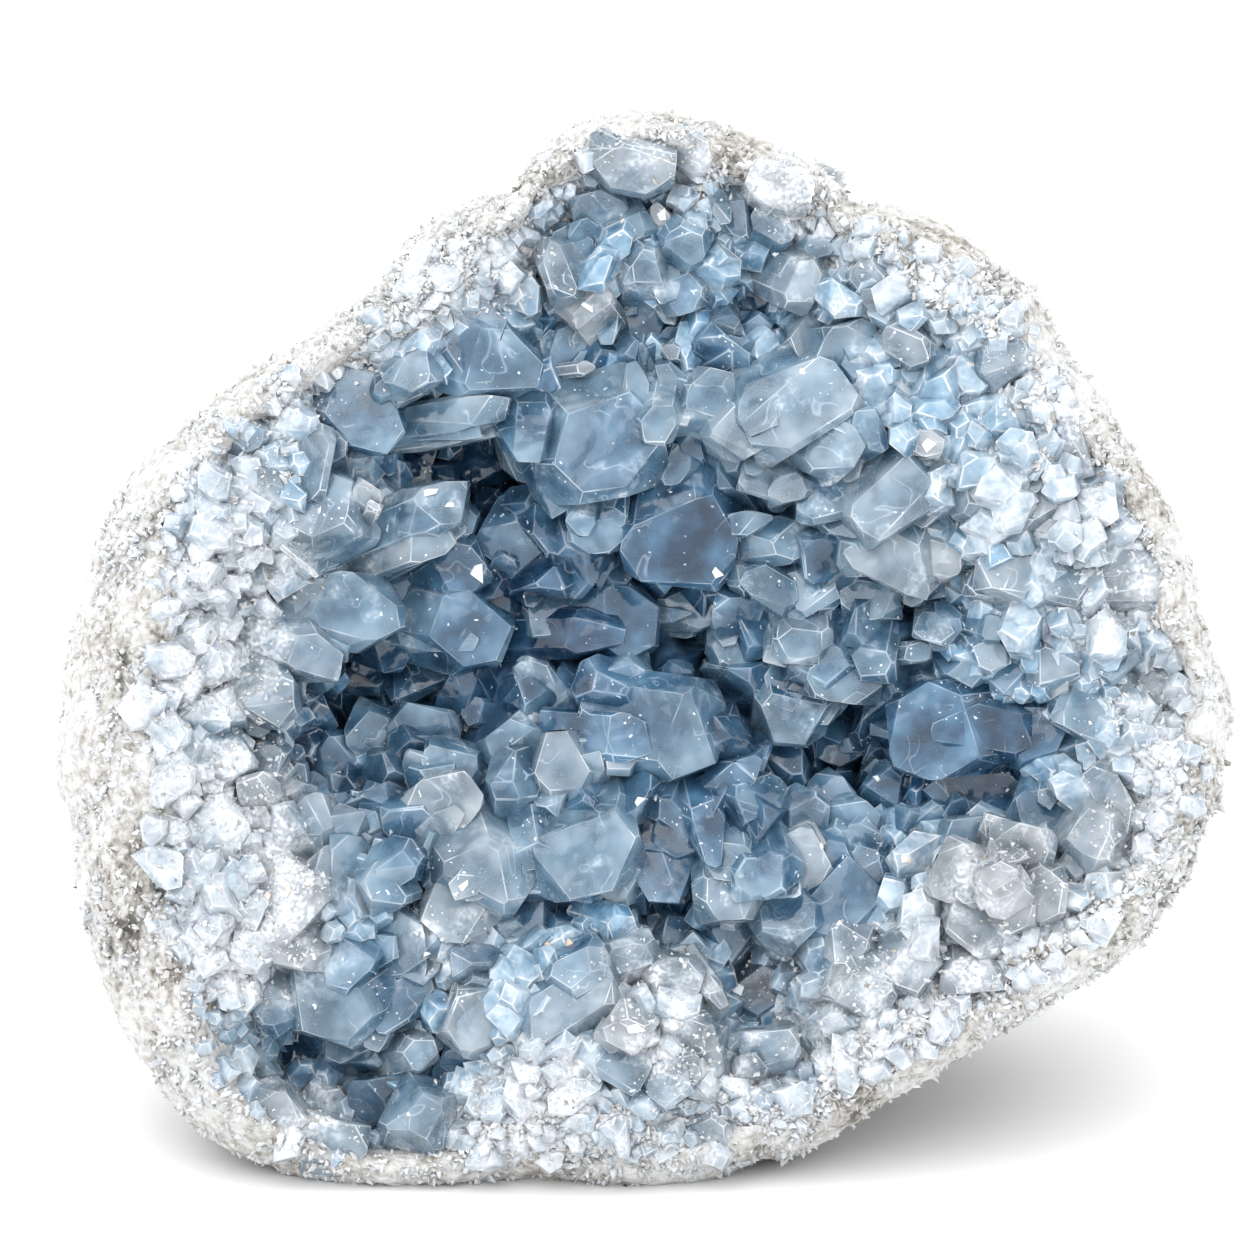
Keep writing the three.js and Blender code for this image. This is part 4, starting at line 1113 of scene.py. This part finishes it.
def ringed_triangles(rings, rays):
    """Triangles of a grid of rings, its first and last rings closed by single points."""
    ray = np.arange(rays)
    after = (ray + 1) % rays
    parts = [np.stack([np.zeros(rays, int), 1 + ray, 1 + after], axis=1)]
    for ring in range(rings - 1):
        a = 1 + ring * rays
        b = a + rays
        parts.append(np.stack([a + ray, b + ray, b + after], axis=1))
        parts.append(np.stack([a + ray, b + after, a + after], axis=1))
    last = 1 + (rings - 1) * rays
    end = 1 + rings * rays
    parts.append(np.stack([last + ray, np.full(rays, end), last + after], axis=1))
    return np.concatenate(parts)


stone_angles = np.arange(STONE_RAYS) / STONE_RAYS * TURN
stone_radius = outline_radius(stone_angles)


def ring_on_face(share, table, sink=0.0):
    """A ring of points on the face at a share of the way out."""
    u, v = on_circle(stone_radius * share, stone_angles)
    return np.stack([u, v, look_up(table, u, v) - sink], axis=1)


def stone_grid():
    """The visible stone in the face frame: the bare rim, then the sides and back."""
    edge = crust_edge_at(stone_angles)
    rings = [
        ring_on_face(edge + (1 - edge) * (i / BARE_RINGS), FACE) for i in range(BARE_RINGS + 1)
    ]
    for i in range(BACK_RINGS):
        swing = ((i + 1) / (BACK_RINGS + 1)) * math.pi / 2
        narrowing = math.cos(swing) ** (2 / BACK_ROUNDNESS)
        depth = SHELL_DEPTH * math.sin(swing) ** (2 / BACK_ROUNDNESS)
        lump = (
            np.sin(3 * stone_angles + 5 * swing) + np.sin(5 * stone_angles - 7 * swing + 1)
            + np.sin(2 * stone_angles + 9 * swing + 4)
        )
        wide = stone_radius * narrowing * (1 + BACK_LUMPS * lump * math.sin(swing))
        back = np.full(STONE_RAYS, -RIM_ROLL_OFF - depth)
        rings.append(np.stack([*on_circle(wide, stone_angles), back], axis=1))
    return np.array(rings)


def roughened(grid, normals):
    """The grid with lumps and pebbles raised on it."""
    height = np.zeros(grid.shape[:2])
    for index in np.ndindex(height.shape):
        place = Vector(grid[index])
        lumps = noise.fractal(place / LUMP_SIZE, 1.0, 2.0, 3)
        cell = noise.voronoi(place / PEBBLE_SIZE)[0]
        pebble = 1 - min(1.0, cell[0] * 1.5) ** 2
        height[index] = lumps * LUMP_HEIGHT + pebble * PEBBLE_HEIGHT
    return grid + normals * height[..., None]


# Grey and beige patches on the rim, each as [u, v, radius, strength]
STAINS = [
    [-78, -1, 9, 0.24], [-77, -33, 8, 0.2], [-64, -55, 6, 0.3], [-16, 74, 4, 0.22], [15, 78, 6, 0.28],
    [46, 62, 8, 0.25], [76, 24, 8, 0.2], [60, -44, 5, 0.5], [72, -40, 7, 0.3],
    [34, -71, 5, 0.3], [-16, -76, 7, 0.2], [-70, 20, 7, 0.15], [86, -20, 7, 0.2],
    [-80, -43, 3, 0.4], [-74, -49, 3, 0.35], [-68, -55, 3, 0.35], [59, -48, 3, 0.6],
]


base_grid = stone_grid()
base_normals = cyclic_normals(base_grid)
rough_grid = roughened(base_grid, base_normals)


def build_rind():
    edge = crust_edge_at(stone_angles) * 0.998
    under = [
        ring_on_face(edge * (i + 1) / INNER_RINGS, GROUND, CRUST_THICKNESS) for i in range(INNER_RINGS)
    ]
    grid = np.concatenate([np.array(under), rough_grid])
    middle = [[0, 0, float(look_up(GROUND, 0, 0)) - CRUST_THICKNESS]]
    back = [[0, 0, -RIM_ROLL_OFF - SHELL_DEPTH]]
    uvw = np.concatenate([middle, grid.reshape(-1, 3), back])
    triangles = ringed_triangles(len(grid), STONE_RAYS)
    middles = uvw[triangles].mean(axis=1)
    stained = strongest(STAINS, middles[:, 0], middles[:, 1]) * (middles[:, 2] > -STAIN_DEPTH)
    mesh_object(
        "geode_rind", uvw, triangles, {"shade": STONE_SHADE - stained}, {}, stone_material(),
        "rind", "stone_rind",
    )


# The crust

def build_bed():
    """A closed disc of massive crystal that the crystals stand on."""
    angles = np.arange(BED_RAYS) / BED_RAYS * TURN
    radius = outline_radius(angles)
    top = []
    bottom = []
    for i in range(1, BED_RINGS + 1):
        share = crust_edge_at(angles) * i / BED_RINGS
        u, v = on_circle(radius * share, angles)
        ground = look_up(GROUND, u, v)
        rough = np.array([noise.noise(Vector((a, b, 0)) / BED_BUMP_SIZE) for a, b in zip(u, v)])
        top.append(np.stack([u, v, ground + rough * BED_BUMP_HEIGHT], axis=1))
        if i % UNDERSIDE_EVERY == 0 or i == BED_RINGS:
            bottom.append(np.stack([u, v, ground - BED_DEPTH], axis=1))
    grid = np.array(top + bottom[::-1])
    middle = float(look_up(GROUND, 0, 0))
    uvw = np.concatenate([[[0, 0, middle]], grid.reshape(-1, 3), [[0, 0, middle - BED_DEPTH]]])
    triangles = ringed_triangles(len(grid), BED_RAYS)
    middles = uvw[triangles].mean(axis=1)
    share = share_at(middles[:, 0], middles[:, 1])
    # Painted shade: the ground is darker towards the middle of the hollow and the lower it lies, and
    # darker still in the deep gaps; its paler rim is its own colour.
    shades = 0.1 + 0.85 * smooth_step(0.4, 0.85, share) + 0.02 * (middles[:, 2] + 10)
    shades = np.clip(shades - 0.1 * strongest(GAPS, middles[:, 0], middles[:, 1]), 0, 1)
    mesh_object(
        "crust_ground", uvw, triangles, {"shade": shades}, {}, bed_material(),
        "crystal_crust", "celestite",
    )


def build_heroes(material):
    """The large crystals, each with up to three smaller ones grown parallel on its flanks."""
    gathered = Gathered()

    def grow(axes, foot, sizes, seed, shade, reach):
        bury = root_depth(foot, axes[0]) if sizes[0] > SLIM else sizes[0]
        solid, tips = crystal(*axes, foot, sizes, bury, seed)
        root = solid.points[tips < 0]
        if share_at(root[:, 0], root[:, 1]).max() > ROOT_OUTERMOST:
            solid, tips = crystal(*axes, foot, sizes, SHORT_ROOT, seed)
        if share_at(solid.points[:, 0], solid.points[:, 1]).max() < reach:
            gathered.add(solid._replace(tones=solid.tones + shade), tips)

    for i, entry in enumerate(heroes):
        sizes = entry[5:8] * (HERO_GROWTH if entry[5] > SLIM else 1)
        direction, side, flank = HERO_DIRECTION[i], HERO_SIDE[i], HERO_FLANK[i]
        foot = HERO_MIDDLE[i] - direction * sizes[2] / 2
        grow((direction, side, flank), foot, sizes, i + 1, entry[8], HERO_OUTERMOST)
        for twin in range(sum(sizes.sum() > bulk for bulk in TWIN_BULKS)):
            share = rng.uniform(0.42, 0.72)
            across, over = rng.uniform(-0.5, 0.5, 2)
            lowered = rng.uniform(0.05, 0.35)
            leaning = tipped(direction, TWIN_LEAN)
            aside = unit(side - leaning * (side @ leaning))
            twin_foot = (
                foot + side * across * sizes[0] + flank * over * sizes[1]
                - direction * lowered * sizes[2] * share
            )
            twin_sizes = sizes * (share, share, rng.uniform(0.75, 0.95))
            axes = (leaning, aside, np.cross(leaning, aside))
            tone = entry[8] + rng.normal(0, 0.08)
            grow(axes, twin_foot, twin_sizes, 1000 + 7 * i + twin, tone, TWIN_OUTERMOST)
    gathered.piece("large_crystals", material, "crystal_crust", "celestite")
    return gathered.whole()


def hex_points(spacing, jitter):
    """Points of a jittered triangular grid over the face."""
    rows = np.arange(-FILLER_REACH, FILLER_REACH, spacing * 0.866)
    columns = np.arange(-FILLER_REACH, FILLER_REACH, spacing)
    u, v = np.meshgrid(columns, rows)
    u = u + (np.arange(len(rows))[:, None] % 2) * spacing / 2
    shift = rng.uniform(-jitter, jitter, (2, *u.shape)) * spacing
    return (u + shift[0]).ravel(), (v + shift[1]).ravel()


def inside_heroes(places):
    """Which places lie inside one of the large crystals."""
    inside = np.zeros(len(places), bool)
    for i, entry in enumerate(heroes):
        arms = places - HERO_MIDDLE[i]
        along = np.abs(arms @ HERO_DIRECTION[i]) / (entry[7] / 2)
        aside = np.abs(arms @ HERO_SIDE[i]) / (entry[5] / 2)
        over = np.abs(arms @ HERO_FLANK[i]) / (entry[6] / 2)
        inside |= (along < 1) & (aside < 0.85) & (over < 0.85)
    return inside


def shared_tone(u, v, paleness):
    """How pale the crystals are round each place, after the large ones near it."""
    apart = (u[:, None] - heroes[:, 0]) ** 2 + (v[:, None] - heroes[:, 1]) ** 2
    weight = np.exp(-apart / (2 * SHARED_TONE_REACH ** 2))
    total = (weight * heroes[:, 8]).sum(axis=1) + ZONE_TONE_WEIGHT * paleness
    return total / (weight.sum(axis=1) + ZONE_TONE_WEIGHT)


def build_fillers(name, zone, ready, material):
    """Small crystals all over one zone of the ground."""
    inner, outer, spacing, smallest, largest, paleness, sunk = zone
    u, v = hex_points(spacing, FILLER_JITTER)
    share = share_at(u, v)
    past_edge = share - crust_edge_at(np.arctan2(v, u))
    soft = np.clip(rng.normal(0, 0.015, len(u)), -0.03, 0.03)
    size = smallest + (largest - smallest) * rng.random(len(u)) ** 1.4
    middles = np.stack([u, v, look_up(FACE, u, v) + size * 0.3], axis=1)
    keep = (share + soft >= inner) & (share + soft < outer) & (past_edge + soft < 0.03)
    gap = strongest(GAPS, u, v)
    keep &= ~inside_heroes(middles) & (gap < OPEN_GAP)
    u, v, share, size, gap = u[keep], v[keep], share[keep], size[keep], gap[keep]
    ground = look_up(FACE, u, v)
    directions = tipped(face_normal(u, v) * 0.7 + (0, 0, 0.3), FILLER_TIP)
    count = len(u)
    sizes = size[:, None] * rng.uniform((0.95, 0.8, 0.9), (1.5, 1.2, 1.3), (count, 3))
    feet = np.stack([u, v, ground - size * rng.uniform(sunk - 0.15, sunk + 0.15, count)], axis=1)
    shades = shared_tone(u, v, paleness) + rng.normal(0, 0.07, count)
    # Painted shade: darker the lower the ground lies, and darker in the deep gaps
    shades += PAINTED_DEPTH_SHADE * (ground + 9) - PAINTED_GAP_SHADE * gap
    shades += RIM_SHADE * np.maximum(0, share - RIM_SHADE_START)
    gathered = Gathered()
    gathered.plant(ready, feet, directions, sizes, shades)
    gathered.piece(name, material, "crystal_crust", "celestite")
    return gathered.whole()


def build_grains(
    name, places, normals, ready, material, node, slot, scale=1, dimmest=DIMMEST_GRAIN,
):
    """Sugary grains scattered over the stone or the crystals."""
    count = len(places)
    directions = tipped(normals, 0.5)
    smallest, largest = GRAIN_SIZES
    size = scale * (smallest + (largest - smallest) * rng.random(count) ** 2.5)
    sizes = size[:, None] * rng.uniform((0.8, 0.6, 0.7), (1.2, 1.0, 1.2), (count, 3))
    feet = places - directions * (size * rng.uniform(0.3, 0.6, count))[:, None]
    bright = rng.uniform(dimmest, 1.0, count)
    dark = rng.uniform(0.1, 0.45, count)
    shades = np.where(rng.random(count) > DARK_GRAINS, bright, dark)
    shades -= strongest(STAINS, places[:, 0], places[:, 1]) * rng.uniform(0.3, 1.3, count)
    gathered = Gathered()
    gathered.plant(ready, feet, directions, sizes, np.maximum(shades, 0.04))
    gathered.piece(name, material, node, slot)


def rim_places():
    """Places for grains on the rim: from among the outermost crystals to the outline."""
    angle = rng.uniform(0, TURN, RIM_GRAINS)
    edge = crust_edge_at(angle)
    share = edge - RIM_OVERLAP + (1 + RIM_OVERLAP - edge) * rng.random(RIM_GRAINS) ** 0.8
    u, v = on_circle(outline_radius(angle) * np.minimum(share, 1), angle)
    return np.stack([u, v, look_up(FACE, u, v) + 0.3], axis=1), face_normal(u, v)


def side_places():
    """Places for grains on the first stretch of the sides."""
    ring = BARE_RINGS + rng.integers(0, GRAINY_SIDE_RINGS, SIDE_GRAINS)
    ray = rng.integers(0, STONE_RAYS, SIDE_GRAINS)
    part = rng.random(SIDE_GRAINS)[:, None]
    places = rough_grid[ring, ray] * (1 - part) + rough_grid[ring + 1, ray] * part
    return places, base_normals[ring, ray]


def frosted_places(solids):
    """Places for grains on what faces out of the crystals of the frosted patches."""
    trios = np.concatenate([solid.points[solid.triangles] for solid in solids])
    across = np.cross(trios[:, 1] - trios[:, 0], trios[:, 2] - trios[:, 0])
    normals = unit(across + 1e-12)
    middles = trios.mean(axis=1)
    lit = np.maximum(0, normals @ (0, 0.45, 0.9) - 0.35)
    weight = np.linalg.norm(across, axis=1) * lit * frosting(middles[:, 0], middles[:, 1]) ** 1.5
    weight *= middles[:, 2] > look_up(FACE, middles[:, 0], middles[:, 1]) - 0.3
    chosen = rng.choice(len(trios), FROST_GRAINS, p=weight / weight.sum())
    parts = rng.dirichlet((1, 1, 1), FROST_GRAINS)
    return (trios[chosen] * parts[..., None]).sum(axis=1), normals[chosen]


def build_sparks(solids, ready):
    """Small bright facets, painted highlights, set where the crystals show at each place."""
    starts = np.cumsum([0] + [len(solid.points) for solid in solids[:-1]])
    points = np.concatenate([solid.points for solid in solids])
    triangles = np.concatenate([solid.triangles + start for solid, start in zip(solids, starts)])
    tree = BVHTree.FromPolygons(points.tolist(), triangles.tolist())
    eye = Vector((*AIM, VIEW_DISTANCE))
    gathered = Gathered()
    for u, v, width, warmth in SPARKS:
        size = width * SPARK_SIZE
        way = (Vector((u, v, 0)) - eye).normalized()
        place, normal, _, _ = tree.ray_cast(eye, way)
        if place is None:
            continue
        direction = tipped(np.array([normal]) + (0, 0.1, 0.3), 0.1)
        feet = np.array([place]) - direction * size * 0.12
        sizes = np.array([[size, size * rng.uniform(0.5, 0.9), size * 0.25]])
        gathered.plant(ready, feet, direction, sizes, np.array([warmth]))
    gathered.piece("bright_facets", spark_material(), "crystal_crust", "celestite")


def fanned(corners, faces):
    return crystal_mesh(corners, faces, 0, SMALL_ROUNDING)


def edged(corners, faces):
    return crystal_mesh(corners, faces, SMALL_EDGE_WIDTH, ROUNDING)


def upright_planes(draw):
    return crystal_planes(draw, 0.5)


build_rind()
build_bed()
large_look = crystal_material("celestite_large", transmission=0.66, scale=1, edge_highlight=0.0)
small_look = crystal_material("celestite_small", transmission=0.32, scale=2, edge_highlight=0.85)
small_ready = templates(small_planes, seed=5000, mesh=fanned)
chips_ready = templates(chip_planes, seed=6000, mesh=plain_mesh)
upright_ready = templates(upright_planes, seed=7000, mesh=edged)
large = build_heroes(large_look)
hollow = build_fillers("hollow_crystals", FILLERS["hollow"], upright_ready, large_look)
wall = build_fillers("wall_crystals", FILLERS["wall"], small_ready, small_look)
rim = build_fillers("rim_crystals", FILLERS["rim"], small_ready, small_look)
grain_look = grain_material()
build_grains("rim_grains", *rim_places(), chips_ready, grain_look, "rind", "stone_rind")
build_grains("side_grains", *side_places(), chips_ready, grain_look, "rind", "stone_rind")
frosted = frosted_places([large, wall, rim])
build_grains(
    "frost_grains", *frosted, chips_ready, grain_look, "crystal_crust", "celestite",
    FROST_GRAIN_SCALE, DIMMEST_FROST_GRAIN,
)
build_sparks([large, hollow, wall, rim], chips_ready)


# Floor, light and camera

def build_floor():
    mesh = bpy.data.meshes.new("floor")
    far = FLOOR_REACH
    corners = [(-far, -far, 0), (far, -far, 0), (far, far, 0), (-far, far, 0)]
    mesh.from_pydata(corners, [], [(0, 1, 2, 3)])
    nodes = Nodes("floor_paper")
    nodes.shade_with(Base_Color=(*FLOOR_COLOUR, 1), Roughness=1.0, Specular_IOR_Level=0.0)
    mesh.materials.append(nodes.material)
    floor = bpy.data.objects.new("floor", mesh)
    bpy.context.scene.collection.objects.link(floor)


def aim(thing, place, target):
    thing.location = place
    thing.rotation_mode = "QUATERNION"
    thing.rotation_quaternion = (Vector(target) - Vector(place)).to_track_quat("-Z", "Y")


def build_light():
    world = bpy.data.worlds.new("studio")
    bpy.context.scene.world = world
    world.use_nodes = True
    tree = world.node_tree
    background = tree.nodes["Background"]
    background.inputs["Strength"].default_value = WORLD_LIGHT
    place = tree.nodes.new("ShaderNodeTexCoord")
    parts = tree.nodes.new("ShaderNodeSeparateXYZ")
    sky = tree.nodes.new("ShaderNodeValToRGB")
    sky.color_ramp.elements[0].color = (*SKY_AT_HORIZON, 1)
    sky.color_ramp.elements[1].color = (*SKY_ABOVE, 1)
    tree.links.new(place.outputs["Generated"], parts.inputs[0])
    tree.links.new(parts.outputs["Z"], sky.inputs["Fac"])
    tree.links.new(sky.outputs["Color"], background.inputs["Color"])
    sun = bpy.data.lights.new("soft_sun", "SUN")
    sun.energy = SUN_LIGHT
    sun.color = SUN_COLOUR
    sun.angle = SUN_ANGLE
    holder = bpy.data.objects.new("soft_sun", sun)
    bpy.context.scene.collection.objects.link(holder)
    aim(holder, SUN_PLACE, (0, 0, 0))


def build_camera():
    data = bpy.data.cameras.new("camera")
    data.sensor_width = SENSOR
    data.lens = LENS
    data.clip_start = 0.01
    data.clip_end = 50
    holder = bpy.data.objects.new("camera", data)
    bpy.context.scene.collection.objects.link(holder)
    place = to_world([AIM[0], AIM[1], VIEW_DISTANCE])
    aim(holder, place, to_world([AIM[0], AIM[1], 0]))
    bpy.context.scene.camera = holder


build_floor()
build_light()
build_camera()

scene = bpy.context.scene
scene.view_settings.view_transform = "Standard"
scene.view_settings.look = "None"
scene.cycles.max_bounces = 3
scene.cycles.transmission_bounces = 2
scene.cycles.diffuse_bounces = 1
scene.cycles.glossy_bounces = 1
scene.cycles.volume_bounces = 0
